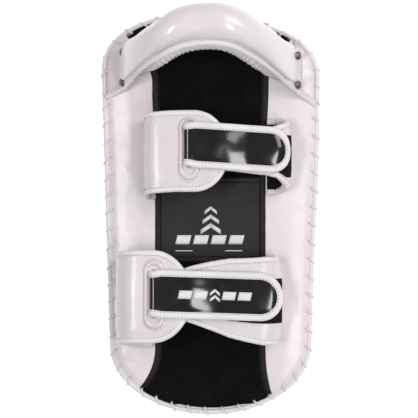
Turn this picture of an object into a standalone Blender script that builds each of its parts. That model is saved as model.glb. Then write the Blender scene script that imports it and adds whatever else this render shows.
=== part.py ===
"""Thai pad (kick pad): a laced foam block with a forearm channel, two arm straps and a hand guard.

The pad lies on its strike face. +X is across the pad, +Y runs along the forearm towards the hand guard
and +Z points away from the strike face. The origin is the centre of the outline at floor level. Heights
called h are measured up from RIM, the level of the laced edge.
"""

import math

import bmesh
import bpy
from mathutils import Matrix, Vector

# ---------------------------------------------------------------- driving dimensions, metres
LENGTH_HEAD = 0.141  # where the straight sides meet the head end's curve
LENGTH_FOOT = -0.131  # where they meet the foot end's curve
HEAD_REACH = 0.060
FOOT_REACH = 0.070
HEAD_HALF = 0.108
FOOT_HALF = 0.100
HEAD_POWER = 2.3  # superellipse power of the head end
RIM = 0.084
GAP = 0.0003
LEATHER = 0.002

CROWN = 0.0075  # how far the back swells above the laced edge
CROWN_RUN = 0.010
CHANNEL = 0.005  # depth of the forearm channel
CHANNEL_HALF = 0.075

EDGE_INSET = 0.0018  # side wall's outer face, inside the lace
WELT_RADIUS = 0.0026
WELT_INSET = 0.0050
WELT_H = 0.0016
PANEL_INSET = 0.0104
WALL_TOP_H = -0.0036
FACE_TOP = 0.0110
PIPING_RADIUS = 0.0016
PIPING_PROUD = 0.0006  # how far the piping stands out from the wall
PIPING_Z = 0.0130
WALL_BOTTOM = 0.0149
FOAM_INSET = 0.0048
FOAM_SPLITS = (0.030, 0.060)
FOAM_WALL_CLEARANCE = 0.0006
FOAM_BACK_CLEARANCE = 0.0016

STITCHES = 62
LACE_RADIUS = 0.0010

BINDING = 0.006  # width of the bound edges
STRIP_BINDING_PROUD = 0.0012
MIDDLE_PANEL = (-0.048, 0.035)

GUARD_SPAN = 0.0745
GUARD_BASE_H = 0.0155
GUARD_RISE = 0.0665
GUARD_POWER = 3.0
GUARD_MID_Y = 0.181
GUARD_SWEEP = 4.6  # metres of set-back for each square metre of x
GUARD_HALF_Y = 0.018
GUARD_HALF_Z = 0.015
GUARD_SKIN = 0.0018
GUARD_ROLL_CLEARANCE = 0.0012
GUARD_BINDING_RADIUS = 0.0026
GUARD_BINDING_CLEARANCE = 0.0011
TAB_FOOT = 0.0165  # reach of a tab from the middle of the roll
TAB_HEAD = 0.0150
TAB_THICK = 0.0020
RIVET_X = 0.0925
RIVET_SHARES = (("foot", 0.13), ("head", 0.87))  # places along a tab
RIVET_LIFT = 0.0050
RIVET_CLEARANCE = 0.0044
RIVET_AXIS = (0.88, 0.47)  # leaning outwards, square to the tab
RIVET_RADII = (0.0043, 0.0026)
RIVET_DEPTH = 0.0018

GRIP_RADIUS = 0.0095
GRIP_HALF = 0.038
GRIP_H = 0.030
GRIP_Y = 0.180
GRIP_SAG = 0.0012
HANDLE_STRAP_HALF = 0.009
HANDLE_STRAP_THICK = 0.0026
HANDLE_RIVET = (0.0545, 0.0110)  # x and h
HANDLE_RIVET_RADII = (0.0024, 0.0016)
HANDLE_RIVET_DEPTH = 0.0012

PLY = 0.0018  # one layer of strap leather
PLY_LIFT = 0.0011  # its middle, from the middle of the strap's two layers
FLAP_BINDING_THICK = 0.0052
TONGUE_THICK = 0.0030
TONGUE_BINDING_THICK = 0.0040
PATCH_THICK = 0.0012
FLAP_H = 0.0486
WING_H = 0.0430
TONGUE_H = 0.0546
SEAT_LIFT = 0.0068  # middle of the tongue over the middle of the wing, with both patches between
FLAP_ROUND = 0.86  # length of the flap's round end as a share of its half width
RING_CLEARANCE = 0.0006
RING_THICK = 0.0010
LOOP_PATCH_H = 0.030  # the loop patch starts where the wing has risen this far
PATCH_MARGIN = 0.0015
PATCH_INSET = 0.0010
HOOK_START = 0.55  # share of the tongue's length
HOOK_STOP = 0.010
HOOK_MARGIN = 0.0030
TURN_THICK = 0.0024
TURN_MARGIN = 0.0008
MOST_BOW = 0.00015  # how far a strap's curve may bow away from the flat faces that stand for it
FLAT_STEP = 0.030

WHITE = (0.86, 0.83, 0.85)
BINDING_WHITE = (0.80, 0.78, 0.77)
BLACK = (0.02, 0.02, 0.02)
SMOOTH_BLACK = (0.045, 0.043, 0.043)
FOAM = (0.62, 0.63, 0.60)
LACE = (0.72, 0.66, 0.56)
STEEL = (0.62, 0.60, 0.58)

# Each strap: a flap from the left with a slot, a wing from the right, and the tongue that turns back.
# Paths are (x, h) pairs from the sewn root to the free end. The flap's hinge is where its leather turns up
# from the pad. The wing's halves are (distance, half width) pairs. The tongue's tail starts at an x on the
# wing and its tip is at a height on the wing's shoulder.
UPPER = {
    "name": "upper",
    "flap_path": [(-0.0556, 0.0104), (-0.0600, 0.0140), (-0.0620, 0.0220), (-0.0612, 0.0330),
                  (-0.0565, 0.0425), (-0.0480, 0.0478), (-0.0380, FLAP_H), (0.0000, FLAP_H),
                  (0.0185, FLAP_H)],
    "flap_hinge": (-0.0556, 0.0104),
    "flap_y": (0.0560, 0.0602),
    "flap_half": 0.0396,
    "slot": (-0.0206, 0.0612, 0.0036, 0.0268),
    "ring": (0.0115, 0.0320),
    "wing_path": [(0.0566, 0.0106), (0.0630, 0.0120), (0.0700, 0.0170), (0.0737, 0.0250), (0.0725, 0.0335),
                  (0.0665, 0.0400), (0.0540, WING_H), (0.0200, WING_H), (-0.0180, WING_H)],
    "wing_y": (0.0555, 0.0625),
    "wing_halves": [(0.0000, 0.0375), (0.0200, 0.0365), (0.0330, 0.0290), (0.0480, 0.0222),
                    (0.0600, 0.0215)],
    "turn_x": -0.0232,
    "tongue_start": [(-0.0232, TONGUE_H), (0.0050, TONGUE_H), (0.0190, TONGUE_H - 0.0006)],
    "tongue_tail": (0.0340, 0.0330),
    "tongue_y": (0.0664, 0.0602),
    "tongue_half": 0.0214,
    "patch_x": 0.0400,
}
LOWER = {
    "name": "lower",
    "flap_path": [(-0.0576, 0.0106), (-0.0680, 0.0136), (-0.0780, 0.0170), (-0.0858, 0.0222),
                  (-0.0895, 0.0305), (-0.0872, 0.0395), (-0.0795, 0.0463), (-0.0680, FLAP_H),
                  (-0.0400, FLAP_H), (-0.0177, FLAP_H)],
    "flap_hinge": (-0.0800, 0.0180),
    "flap_y": (-0.0850, -0.0807),
    "flap_half": 0.0451,
    "slot": (-0.0543, -0.0787, 0.0036, 0.0290),
    "ring": (0.0121, 0.0359),
    "wing_path": [(0.0556, 0.0106), (0.0600, 0.0130), (0.0640, 0.0200), (0.0638, 0.0300), (0.0590, 0.0385),
                  (0.0490, WING_H), (0.0200, WING_H), (-0.0520, WING_H)],
    "wing_y": (-0.0855, -0.0790),
    "wing_halves": [(0.0000, 0.0435), (0.0420, 0.0430), (0.0750, 0.0385), (0.1000, 0.0315), (0.1230, 0.0245),
                    (0.1500, 0.0226)],
    "turn_x": -0.0563,
    "tongue_start": [(-0.0563, TONGUE_H), (-0.0300, TONGUE_H), (-0.0160, TONGUE_H - 0.0006)],
    "tongue_tail": (-0.0010, 0.0330),
    "tongue_y": (-0.0774, -0.0818),
    "tongue_half": 0.0226,
    "patch_x": 0.0150,
}


# ---------------------------------------------------------------- scene and materials
def clear_scene():
    for item in list(bpy.data.objects):
        bpy.data.objects.remove(item)


def material(name, colour, roughness, metallic=0.0):
    made = bpy.data.materials.new(name)
    made.use_nodes = True
    shader = made.node_tree.nodes["Principled BSDF"]
    shader.inputs["Base Color"].default_value = (*colour, 1.0)
    shader.inputs["Roughness"].default_value = roughness
    shader.inputs["Metallic"].default_value = metallic
    return made


def add_object(name, data, finish, parent=None):
    """Links an object whose data is in world coordinates, and keeps it there under its parent."""
    item = bpy.data.objects.new(name, data)
    bpy.context.scene.collection.objects.link(item)
    data.materials.append(finish)
    if parent is not None:
        item.parent = parent
        item.matrix_parent_inverse = parent.matrix_world.inverted()
    return item


def add_mesh(name, shape, finish, parent=None, sharp=40.0):
    bmesh.ops.recalc_face_normals(shape, faces=shape.faces)
    mesh = bpy.data.meshes.new(name)
    shape.to_mesh(mesh)
    shape.free()
    mesh.shade_smooth()
    mesh.set_sharp_from_angle(angle=math.radians(sharp))
    return add_object(name, mesh, finish, parent)


def add_pivot(name, x, h):
    """An empty on a strap's hinge line, which its pieces hang from."""
    pivot = bpy.data.objects.new(name, None)
    pivot.location = (x, 0.0, RIM + h)
    bpy.context.scene.collection.objects.link(pivot)
    bpy.context.view_layer.update()
    return pivot


# ---------------------------------------------------------------- shape helpers
def loft(rings, ring_is_loop=True, stack_is_loop=False):
    """A closed body through rings of equal length. Open stacks get an n-gon cap at each end."""
    shape = bmesh.new()
    rows = [[shape.verts.new(point) for point in ring] for ring in rings]
    count = len(rows[0])
    pairs = list(zip(rows, rows[1:]))
    if stack_is_loop:
        pairs.append((rows[-1], rows[0]))
    steps = count if ring_is_loop else count - 1
    for lower, upper in pairs:
        for i in range(steps):
            j = (i + 1) % count
            shape.faces.new((lower[i], lower[j], upper[j], upper[i]))
    if not stack_is_loop:
        shape.faces.new(rows[0])
        shape.faces.new(rows[-1])
    return shape


def slab(grid, thickness):
    """A grid of points made solid by extruding it straight down."""
    shape = bmesh.new()
    rows = [[shape.verts.new(point) for point in row] for row in grid]
    for near, far in zip(rows, rows[1:]):
        for i in range(len(near) - 1):
            shape.faces.new((near[i], near[i + 1], far[i + 1], far[i]))
    grown = bmesh.ops.extrude_face_region(shape, geom=list(shape.faces))
    lower = [item for item in grown["geom"] if isinstance(item, bmesh.types.BMVert)]
    bmesh.ops.translate(shape, verts=lower, vec=(0.0, 0.0, -thickness))
    return shape


def sheet(grid):
    """A single layer of faces through a grid of points, to be given its thickness by Solidify."""
    shape = bmesh.new()
    rows = [[shape.verts.new(point) for point in row] for row in grid]
    for near, far in zip(rows, rows[1:]):
        for i in range(len(near) - 1):
            shape.faces.new((near[i], near[i + 1], far[i + 1], far[i]))
    return shape


def solidify(item, thickness, offset=0.0):
    thicken = item.modifiers.new("Solidify", "SOLIDIFY")
    thicken.thickness = thickness
    thicken.offset = offset
    thicken.use_even_offset = True
    return item


def cut(item, cutter):
    boolean = item.modifiers.new("Slot", "BOOLEAN")
    boolean.operation = "DIFFERENCE"
    boolean.object = cutter


def tube(name, routes, radius, finish, sides=1, cyclic=False, parent=None):
    """One curve object holding a round tube along each route."""
    curve = bpy.data.curves.new(name, "CURVE")
    curve.dimensions = "3D"
    curve.bevel_depth = radius
    curve.bevel_resolution = sides
    curve.use_fill_caps = not cyclic
    for route in routes:
        spline = curve.splines.new("POLY")
        spline.points.add(len(route) - 1)
        for point, place in zip(spline.points, route):
            point.co = (*place, 1.0)
        spline.use_cyclic_u = cyclic
    return add_object(name, curve, finish, parent)


def blend_value(x, pairs):
    """Linear reading of a list of (x, value) pairs."""
    if x <= pairs[0][0]:
        return pairs[0][1]
    for (x0, v0), (x1, v1) in zip(pairs, pairs[1:]):
        if x <= x1:
            return v0 + (v1 - v0) * (x - x0) / (x1 - x0)
    return pairs[-1][1]


def smooth_step(low, high, x):
    share = min(max((x - low) / (high - low), 0.0), 1.0)
    return share * share * (3.0 - 2.0 * share)


# ---------------------------------------------------------------- the pad's outline and back surface
def signed_power(value, power):
    return math.copysign(abs(value) ** power, value)


def outline(inset=0.0, end_steps=18, side_steps=8):
    """The pad's plan outline, anticlockwise, moved inwards by inset along its own normals."""
    points = []
    for i in range(end_steps):
        angle = math.pi * (1.0 + i / end_steps)
        points.append((FOOT_HALF * math.cos(angle), LENGTH_FOOT + FOOT_REACH * math.sin(angle)))
    for i in range(side_steps):
        share = i / side_steps
        points.append((FOOT_HALF + (HEAD_HALF - FOOT_HALF) * share,
                       LENGTH_FOOT + (LENGTH_HEAD - LENGTH_FOOT) * share))
    power = 2.0 / HEAD_POWER
    for i in range(end_steps):
        angle = math.pi * i / end_steps
        points.append((HEAD_HALF * signed_power(math.cos(angle), power),
                       LENGTH_HEAD + HEAD_REACH * signed_power(math.sin(angle), power)))
    for i in range(side_steps):
        share = i / side_steps
        points.append((-HEAD_HALF + (HEAD_HALF - FOOT_HALF) * share,
                       LENGTH_HEAD + (LENGTH_FOOT - LENGTH_HEAD) * share))
    moved = []
    for i, here in enumerate(points):
        before, after = Vector(points[i - 1]), Vector(points[(i + 1) % len(points)])
        along = (after - before).normalized()
        moved.append((here[0] - along.y * inset, here[1] + along.x * inset))
    return moved


def edge_distance(x, y):
    """How far a point lies inside the outline, measured square to the sides and radially at the ends."""
    if LENGTH_FOOT <= y <= LENGTH_HEAD:
        share = (y - LENGTH_FOOT) / (LENGTH_HEAD - LENGTH_FOOT)
        return FOOT_HALF + (HEAD_HALF - FOOT_HALF) * share - abs(x)
    head = y > LENGTH_HEAD
    dy = abs(y - (LENGTH_HEAD if head else LENGTH_FOOT))
    half, reach, power = (HEAD_HALF, HEAD_REACH, HEAD_POWER) if head else (FOOT_HALF, FOOT_REACH, 2.0)
    level = ((abs(x) / half) ** power + (dy / reach) ** power) ** (1.0 / power)
    radius = math.hypot(x, dy)
    return radius / level - radius if level > 1e-4 else reach


def back_height(x, y):
    """Height above RIM of the back: it swells inside the laced edge and dips along the forearm channel."""
    crown = CROWN * (1.0 - math.exp(-max(edge_distance(x, y), 0.0) / CROWN_RUN))
    dip = 0.5 * CHANNEL * (1.0 + math.cos(math.pi * min(abs(x) / CHANNEL_HALF, 1.0)))
    return crown - dip


def on_back(x, y, lift=0.0):
    return Vector((x, y, RIM + back_height(x, y) + lift))


def strip_edge(side, y):
    """x of the centre strip's outer edge: nearly parallel, flared at both ends."""
    foot_flare = 0.0195 if side < 0 else 0.0060
    head = 0.0030 * smooth_step(0.050, 0.130, y) + 0.0245 * max((y - 0.132) / 0.043, 0.0) ** 1.6
    foot = foot_flare * max((-0.135 - y) / 0.044, 0.0) ** 2
    return side * (0.0545 + head + foot)


def crossing(points, axis, value, sign):
    """Where a closed outline crosses a line square to an axis, on the side of the given sign."""
    for here, after in zip(points, points[1:] + points[:1]):
        across, along = (here[1], here[0]) if axis else (here[0], here[1])
        across_after, along_after = (after[1], after[0]) if axis else (after[0], after[1])
        if sign * (along + along_after) > 0.0 and (across - value) * (across_after - value) <= 0.0:
            if abs(across_after - across) > 1e-9:
                return along + (along_after - along) * (value - across) / (across_after - across)
    return None


def end_y(x, points, end):
    """y where an outline crosses x at the head (end=1) or the foot (end=-1)."""
    return crossing(points, 0, x, end)


def side_x(y, points, side):
    """x where an outline crosses y on the right (side=1) or the left (side=-1)."""
    return crossing(points, 1, y, side)


def strip_tip(side, end, points):
    """y where the strip's outer edge comes within a millimetre and a half of an outline's end."""
    near, far = end * 0.120, end * 0.190
    for _ in range(30):
        y = 0.5 * (near + far)
        rim = side_x(y, points, side)
        if rim is not None and abs(rim) > abs(strip_edge(side, y)) + 0.0015:
            near = y
        else:
            far = y
    return near


# ---------------------------------------------------------------- strike face, wall, foam and piping
def raised(inset, z):
    return [(x, y, z) for x, y in outline(inset)]


def build_strike_cover(white):
    outside = [(0.026, 0.0), (0.014, 0.0012), (0.0072, 0.0050), (0.0036, FACE_TOP)]
    inside = [(0.0056, FACE_TOP), (0.0088, 0.0066), (0.0150, 0.0032), (0.026, LEATHER)]
    rings = [raised(inset, z) for inset, z in outside + inside]
    add_mesh("strike_face", loft(rings), white)
    wall = [(EDGE_INSET, WALL_BOTTOM), (EDGE_INSET, RIM + WALL_TOP_H),
            (EDGE_INSET + LEATHER, RIM + WALL_TOP_H), (EDGE_INSET + LEATHER, WALL_BOTTOM)]
    add_mesh("side_wall", loft([raised(inset, z) for inset, z in wall], stack_is_loop=True), white)
    piping = [(x, y, PIPING_Z) for x, y in outline(EDGE_INSET + PIPING_RADIUS - PIPING_PROUD)]
    tube("strike_piping", [piping], PIPING_RADIUS, white, cyclic=True)


def build_foam(foam):
    lower, upper = FOAM_SPLITS
    strike = [(0.027, 0.0024), (0.0156, 0.0038), (0.0096, 0.0072), (FOAM_INSET + 0.0012, 0.0120),
              (FOAM_INSET, 0.0160), (FOAM_INSET, lower)]
    add_mesh("foam_strike_layer", loft([raised(inset, z) for inset, z in strike]), foam)
    core = [(FOAM_INSET, lower + GAP), (FOAM_INSET, upper)]
    add_mesh("foam_core_layer", loft([raised(inset, z) for inset, z in core]), foam)
    wall_top = RIM + WALL_TOP_H - FOAM_WALL_CLEARANCE
    rings = [raised(FOAM_INSET, upper + GAP), raised(FOAM_INSET, wall_top), raised(PANEL_INSET, wall_top)]
    clearance = LEATHER + FOAM_BACK_CLEARANCE
    top = outline(0.030)
    for inset in (0.0130, 0.0200):
        rings.append([on_back(x, y, -clearance) for x, y in outline(inset)])
    for scale in (1.0, 0.72, 0.40):
        rings.append([on_back(x * scale, y * scale, -clearance) for x, y in top])
    add_mesh("foam_back_layer", loft(rings), foam)


# ---------------------------------------------------------------- back panels, centre strip, edge
def strip_rows(side, points, count=18):
    """y of the rows that a side panel and the binding beside it share, closer together at the ends."""
    foot, head = strip_tip(side, -1, points), strip_tip(side, 1, points)
    middle, half = 0.5 * (foot + head), 0.5 * (head - foot)
    return [middle + half * math.sin(0.5 * math.pi * (2.0 * j / count - 1.0)) for j in range(count + 1)]


def build_side_panel(side, name, rows, points, white):
    """White back panel, from the laced edge to the centre strip, ending where the strip meets the edge."""
    columns = 4
    grid = []
    for y in rows:
        inner = strip_edge(side, y) + side * GAP
        outer = side_x(y, points, side)
        grid.append([on_back(inner + (outer - inner) * (i / columns) ** 0.7, y) for i in range(columns + 1)])
    add_mesh(name, slab(grid, LEATHER), white)


def build_binding(side, name, rows, binding):
    grid = []
    for y in rows:
        edge = strip_edge(side, y)
        grid.append([on_back(edge - side * BINDING * i / 2, y, STRIP_BINDING_PROUD) for i in range(3)])
    add_mesh(name, slab(grid, LEATHER + STRIP_BINDING_PROUD), binding)


def build_strip_panel(name, rows, points, end, finish):
    """One of the strip's three panels, between the bindings. At an end it fills out to the laced edge."""
    columns = 8
    grid = []
    for y in rows:
        left = strip_edge(-1, y) + BINDING + 4.0 * GAP
        right = strip_edge(1, y) - BINDING - 4.0 * GAP
        grid.append([on_back(left + (right - left) * i / columns, y) for i in range(columns + 1)])
    if end:
        tip = grid[-1]
        for share in (0.5, 1.0):
            grid.append([on_back(at.x, at.y + (end_y(at.x, points, end) - at.y) * share) for at in tip])
    add_mesh(name, slab(grid, LEATHER), finish)


def build_back(white, velvet, smooth_black):
    points = outline(PANEL_INSET)
    low, high = MIDDLE_PANEL
    for side, side_name in ((-1, "left"), (1, "right")):
        rows = strip_rows(side, points)
        build_side_panel(side, "back_panel_" + side_name, rows, points, white)
        build_binding(side, "centre_binding_" + side_name, rows, smooth_black)
    tips = [min(abs(strip_tip(side, end, points)) for side in (-1, 1)) * end for end in (-1, 1)]
    foot_rows = [low - GAP + (tips[0] - low + GAP) * j / 6 for j in range(7)]
    middle_rows = [low + (high - low) * j / 3 for j in range(4)]
    head_rows = [high + GAP + (tips[1] - high - GAP) * j / 7 for j in range(8)]
    build_strip_panel("centre_panel_foot", foot_rows, points, -1, velvet)
    build_strip_panel("centre_panel_middle", middle_rows, points, 0, smooth_black)
    build_strip_panel("centre_panel_head", head_rows, points, 1, velvet)


def build_edge(welt_white, lace):
    ring = [(x, y, RIM + WELT_H) for x, y in outline(WELT_INSET)]
    tube("edge_welt", [ring], WELT_RADIUS, welt_white, cyclic=True)
    tube("edge_lace", [lace_route()], LACE_RADIUS, lace, sides=0, cyclic=True)


def lace_route():
    """The thong winds round the welt in a square helix: a short slant over it and a long one beneath."""
    path = [Vector(point) for point in outline(WELT_INSET, end_steps=60, side_steps=30)]
    lengths = [0.0]
    for here, after in zip(path, path[1:] + path[:1]):
        lengths.append(lengths[-1] + (after - here).length)
    reach = WELT_RADIUS + LACE_RADIUS + GAP
    # share of one stitch's run, way outwards, way up
    corners = ((0.0, -reach, -reach), (0.12, -reach, reach), (0.42, reach, reach), (0.54, reach, -reach))
    route = []
    index = 0
    for k in range(STITCHES):
        for run, outwards, upwards in corners:
            target = lengths[-1] * (k + run) / STITCHES
            while lengths[index + 1] < target:
                index += 1
            here, after = path[index], path[(index + 1) % len(path)]
            place = here.lerp(after, (target - lengths[index]) / (lengths[index + 1] - lengths[index]))
            along = (after - here).normalized() * outwards
            route.append((place.x + along.y, place.y - along.x, RIM + WELT_H + upwards))
    return route


# ---------------------------------------------------------------- hand guard
def guard_line(t):
    """Arch of the guard's roll in the XZ plane, t from -1 to 1: place and outward normal."""
    x = GUARD_SPAN * t
    h = GUARD_BASE_H + GUARD_RISE * (1.0 - abs(t) ** GUARD_POWER)
    slope = -GUARD_RISE * GUARD_POWER * abs(t) ** (GUARD_POWER - 1.0) / GUARD_SPAN
    normal = Vector((math.copysign(slope, t), 1.0)).normalized()
    return x, h, normal


def guard_point(t, angle, grow=0.0):
    """Point of the roll. Angle 0 faces the forearm and 90 degrees faces up and out."""
    x, h, normal = guard_line(t)
    reach = (GUARD_HALF_Z + grow) * math.sin(angle)
    x += normal.x * reach
    z = RIM + h + normal.y * reach
    y = GUARD_MID_Y - GUARD_SWEEP * x * x - (GUARD_HALF_Y + grow) * math.cos(angle)
    return Vector((x, y, z))


def guard_steps(reach=1.0, count=16):
    """Stations along the arch, closer together where it turns down. Reach cuts both ends short."""
    steps = [math.sin(0.5 * math.pi * (2.0 * i / count - 1.0)) for i in range(count + 1)]
    return [min(max(t, -reach), reach) for t in steps]


def guard_shell(name, start, stop, steps, finish):
    grid = []
    for t in guard_steps():
        angles = [math.radians(start + (stop - start) * i / steps) for i in range(steps + 1)]
        grid.append([guard_point(t, angle, -0.5 * GUARD_SKIN) for angle in angles])
    return solidify(add_mesh(name, sheet(grid), finish), GUARD_SKIN)


def build_guard(white, lining, binding, foam, steel):
    guard_shell("guard_cover", -14.0, 236.0, 10, white)
    guard_shell("guard_lining", 239.0, 343.0, 4, lining)
    inset = GUARD_SKIN + GUARD_ROLL_CLEARANCE
    rings = []
    for t in guard_steps(0.99):
        rings.append([guard_point(t, math.radians(360.0 * i / 10), -inset) for i in range(10)])
    add_mesh("guard_roll", loft(rings), foam)
    grow = GUARD_BINDING_RADIUS + GUARD_BINDING_CLEARANCE
    route = [guard_point(t, math.radians(-16.0), grow) for t in guard_steps(0.97)]
    tube("guard_binding", [route], GUARD_BINDING_RADIUS, binding)
    for side, name in ((-1, "guard_tab_left"), (1, "guard_tab_right")):
        build_guard_tab(side, name, white)
    build_rivets(steel)


def tab_profile(side):
    """The tab in section: flat on the panel near the lace, then curling up the roll's outer side."""
    return [(side * x, lift) for x, lift in
            ((0.0969, 0.0016), (0.0950, 0.0018), (0.0934, 0.0034), (0.0923, 0.0068), (0.0919, 0.0130),
             (0.0906, 0.0180), (0.0885, 0.0230))]


def tab_y(x):
    """Foot and head edges of the tab at x: they follow the guard's sweep."""
    middle = GUARD_MID_Y - GUARD_SWEEP * x * x
    return middle - TAB_FOOT, middle + TAB_HEAD


def build_guard_tab(side, name, white):
    grid = []
    for x, lift in tab_profile(side):
        low, high = tab_y(x)
        grid.append([on_back(x, low + (high - low) * i / 5, lift) for i in range(6)])
    if side > 0:
        grid = [row[::-1] for row in grid]
    solidify(add_mesh(name, sheet(grid), white), TAB_THICK)


def build_rivets(steel):
    """Four domed rivet caps, two at each end of the guard, set square to the sloping tab."""
    low, high = tab_y(RIVET_X)
    for side, side_name in ((-1, "left"), (1, "right")):
        axis = Vector((side * RIVET_AXIS[0], 0.0, RIVET_AXIS[1])).normalized()
        turn = Vector((0.0, 0.0, 1.0)).rotation_difference(axis).to_matrix().to_4x4()
        for end_name, y_share in RIVET_SHARES:
            seat = on_back(side * RIVET_X, low + (high - low) * y_share, RIVET_LIFT)
            place = Matrix.Translation(seat + axis * RIVET_CLEARANCE) @ turn
            add_rivet(f"guard_rivet_{side_name}_{end_name}", place, RIVET_RADII, RIVET_DEPTH, steel)


def add_rivet(name, place, radii, depth, steel):
    shape = bmesh.new()
    bmesh.ops.create_cone(shape, cap_ends=True, segments=12, radius1=radii[0], radius2=radii[1],
                          depth=depth, matrix=place)
    add_mesh(name, shape, steel)


# ---------------------------------------------------------------- grip under the guard
def build_handle(white, steel):
    route = []
    for i in range(9):
        x = GRIP_HALF * (2.0 * i / 8 - 1.0)
        route.append((x, GRIP_Y, RIM + GRIP_H - GRIP_SAG * (x / GRIP_HALF) ** 2))
    tube("handle_grip", [route], GRIP_RADIUS, white, sides=3)
    for side, name in ((-1, "handle_strap_left"), (1, "handle_strap_right")):
        profile = ((0.0392, 0.0288), (0.0434, 0.0250), (0.0470, 0.0178), (0.0492, 0.0116), (0.0515, 0.0086),
                   (0.0560, 0.0086))
        grid = []
        for x, h in profile:
            grid.append([(side * x, GRIP_Y + HANDLE_STRAP_HALF * across, RIM + h) for across in (-1, 0, 1)])
        if side > 0:
            grid = [row[::-1] for row in grid]
        solidify(add_mesh(name, sheet(grid), white), HANDLE_STRAP_THICK)
        x, h = HANDLE_RIVET
        place = Matrix.Translation((side * x, GRIP_Y, RIM + h))
        add_rivet(name.replace("strap", "rivet"), place, HANDLE_RIVET_RADII, HANDLE_RIVET_DEPTH, steel)


# ---------------------------------------------------------------- arm straps
class StrapPath:
    """A smooth path in the XZ plane, read by distance from its first point."""

    def __init__(self, points, steps=8):
        self.points = self.through([Vector((x, RIM + h)) for x, h in points], steps)
        self.lengths = [0.0]
        for here, after in zip(self.points, self.points[1:]):
            self.lengths.append(self.lengths[-1] + (after - here).length)
        self.length = self.lengths[-1]

    @staticmethod
    def through(points, steps):
        """Catmull-Rom curve through the points."""
        ends = [points[0] * 2 - points[1], *points, points[-1] * 2 - points[-2]]
        made = []
        for i in range(1, len(ends) - 2):
            p0, p1, p2, p3 = ends[i - 1], ends[i], ends[i + 1], ends[i + 2]
            for k in range(steps):
                t = k / steps
                made.append(0.5 * ((2 * p1) + (p2 - p0) * t + (2 * p0 - 5 * p1 + 4 * p2 - p3) * t * t
                                   + (3 * p1 - p0 - 3 * p2 + p3) * t * t * t))
        return [*made, points[-1]]

    def at(self, distance):
        """Place and left-hand normal at a distance along the path."""
        distance = min(max(distance, 0.0), self.length)
        index = 0
        while index < len(self.lengths) - 2 and self.lengths[index + 1] < distance:
            index += 1
        here, after = self.points[index], self.points[index + 1]
        share = (distance - self.lengths[index]) / (self.lengths[index + 1] - self.lengths[index])
        along = (after - here).normalized()
        return here.lerp(after, share), Vector((-along.y, along.x))

    def point(self, distance, y, lift):
        place, normal = self.at(distance)
        place = place + normal * lift
        return Vector((place.x, y, place.y))


def stations(path, start, stop, round_end=0.0):
    """Distances along a strap, closer together where it folds and where its end is round."""
    straight_stop = stop - round_end
    found = [start]
    distance = last = 0.0
    last_normal = path.at(0.0)[1]
    while distance < straight_stop - 0.002:
        distance += 0.001
        normal = path.at(distance)[1]
        run = distance - last
        if run * normal.angle(last_normal) > 8.0 * MOST_BOW or run > FLAT_STEP:
            last, last_normal = distance, normal
            if start + 0.003 < distance < straight_stop - 0.003:
                found.append(distance)
    found.append(straight_stop)
    if round_end:
        found += [stop - round_end * (1.0 - math.sin(math.radians(a))) for a in (18, 36, 54, 70, 84)]
    return found


def rounded_half(distance, stop, half, round_end):
    """Half width near a round end: a half ellipse as long as round_end."""
    if not round_end or distance < stop - round_end:
        return half
    share = (distance - (stop - round_end)) / round_end
    return half * math.sqrt(max(1.0 - share * share, 0.0))


def strap_sheet(name, path, reach, centre, half, lift, thickness, finish, parent, round_end=0.0):
    """A strap layer: full width rows across the path at the given lift above its middle."""
    start, stop = reach
    grid = []
    for distance in stations(path, start, stop, round_end):
        wide = rounded_half(distance, stop, half(distance), round_end)
        middle = centre(distance)
        grid.append([path.point(distance, middle - wide + wide * i, lift) for i in range(3)])
    return solidify(add_mesh(name, sheet(grid), finish, parent), thickness)


def strap_binding(name, path, reach, centre, half, lift, thickness, finish, parent, round_end=0.0):
    """The bound edge: up one side, across or round the end, and down the other side."""
    start, stop = reach
    straight = stop - round_end
    inner_stop, inner_round = stop - BINDING, max(round_end - BINDING, 0.0)
    near_side, far_side = [], []
    for distance in stations(path, start, stop, round_end):
        if not round_end and stop - BINDING - 0.001 < distance < stop:
            continue
        if round_end:
            inner_distance = straight + (distance - straight) * min(inner_round / round_end, 1.0)
            inner_distance = distance if distance < straight else inner_distance
        else:
            inner_distance = min(distance, inner_stop)
        wide = rounded_half(distance, stop, half(distance), round_end)
        inner_wide = rounded_half(inner_distance, inner_stop, half(inner_distance) - BINDING, inner_round)
        for side, row in ((-1, near_side), (1, far_side)):
            row.append([path.point(distance, centre(distance) + side * wide, lift),
                        path.point(inner_distance, centre(inner_distance) + side * inner_wide, lift)])
    return solidify(add_mesh(name, sheet(near_side + far_side[::-1]), finish, parent), thickness)


def slot_cutter(name, spec):
    """A block with round ends, standing through the flap's top run, that cuts its slot."""
    x, y, half_x, half_y = spec["slot"]
    ring = []
    for i in range(16):
        angle = 2.0 * math.pi * i / 16
        bow = math.copysign(half_y - half_x, math.sin(angle)) if abs(math.sin(angle)) > 1e-6 else 0.0
        ring.append((x + half_x * math.cos(angle), y + bow + half_x * math.sin(angle)))
    heights = (RIM + FLAP_H - 0.010, RIM + FLAP_H + 0.010)
    shape = loft([[(px, py, z) for px, py in ring] for z in heights])
    cutter = add_mesh(name, shape, bpy.data.materials["cutter"])
    cutter.hide_render = True
    cutter.display_type = "WIRE"
    return cutter


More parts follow.
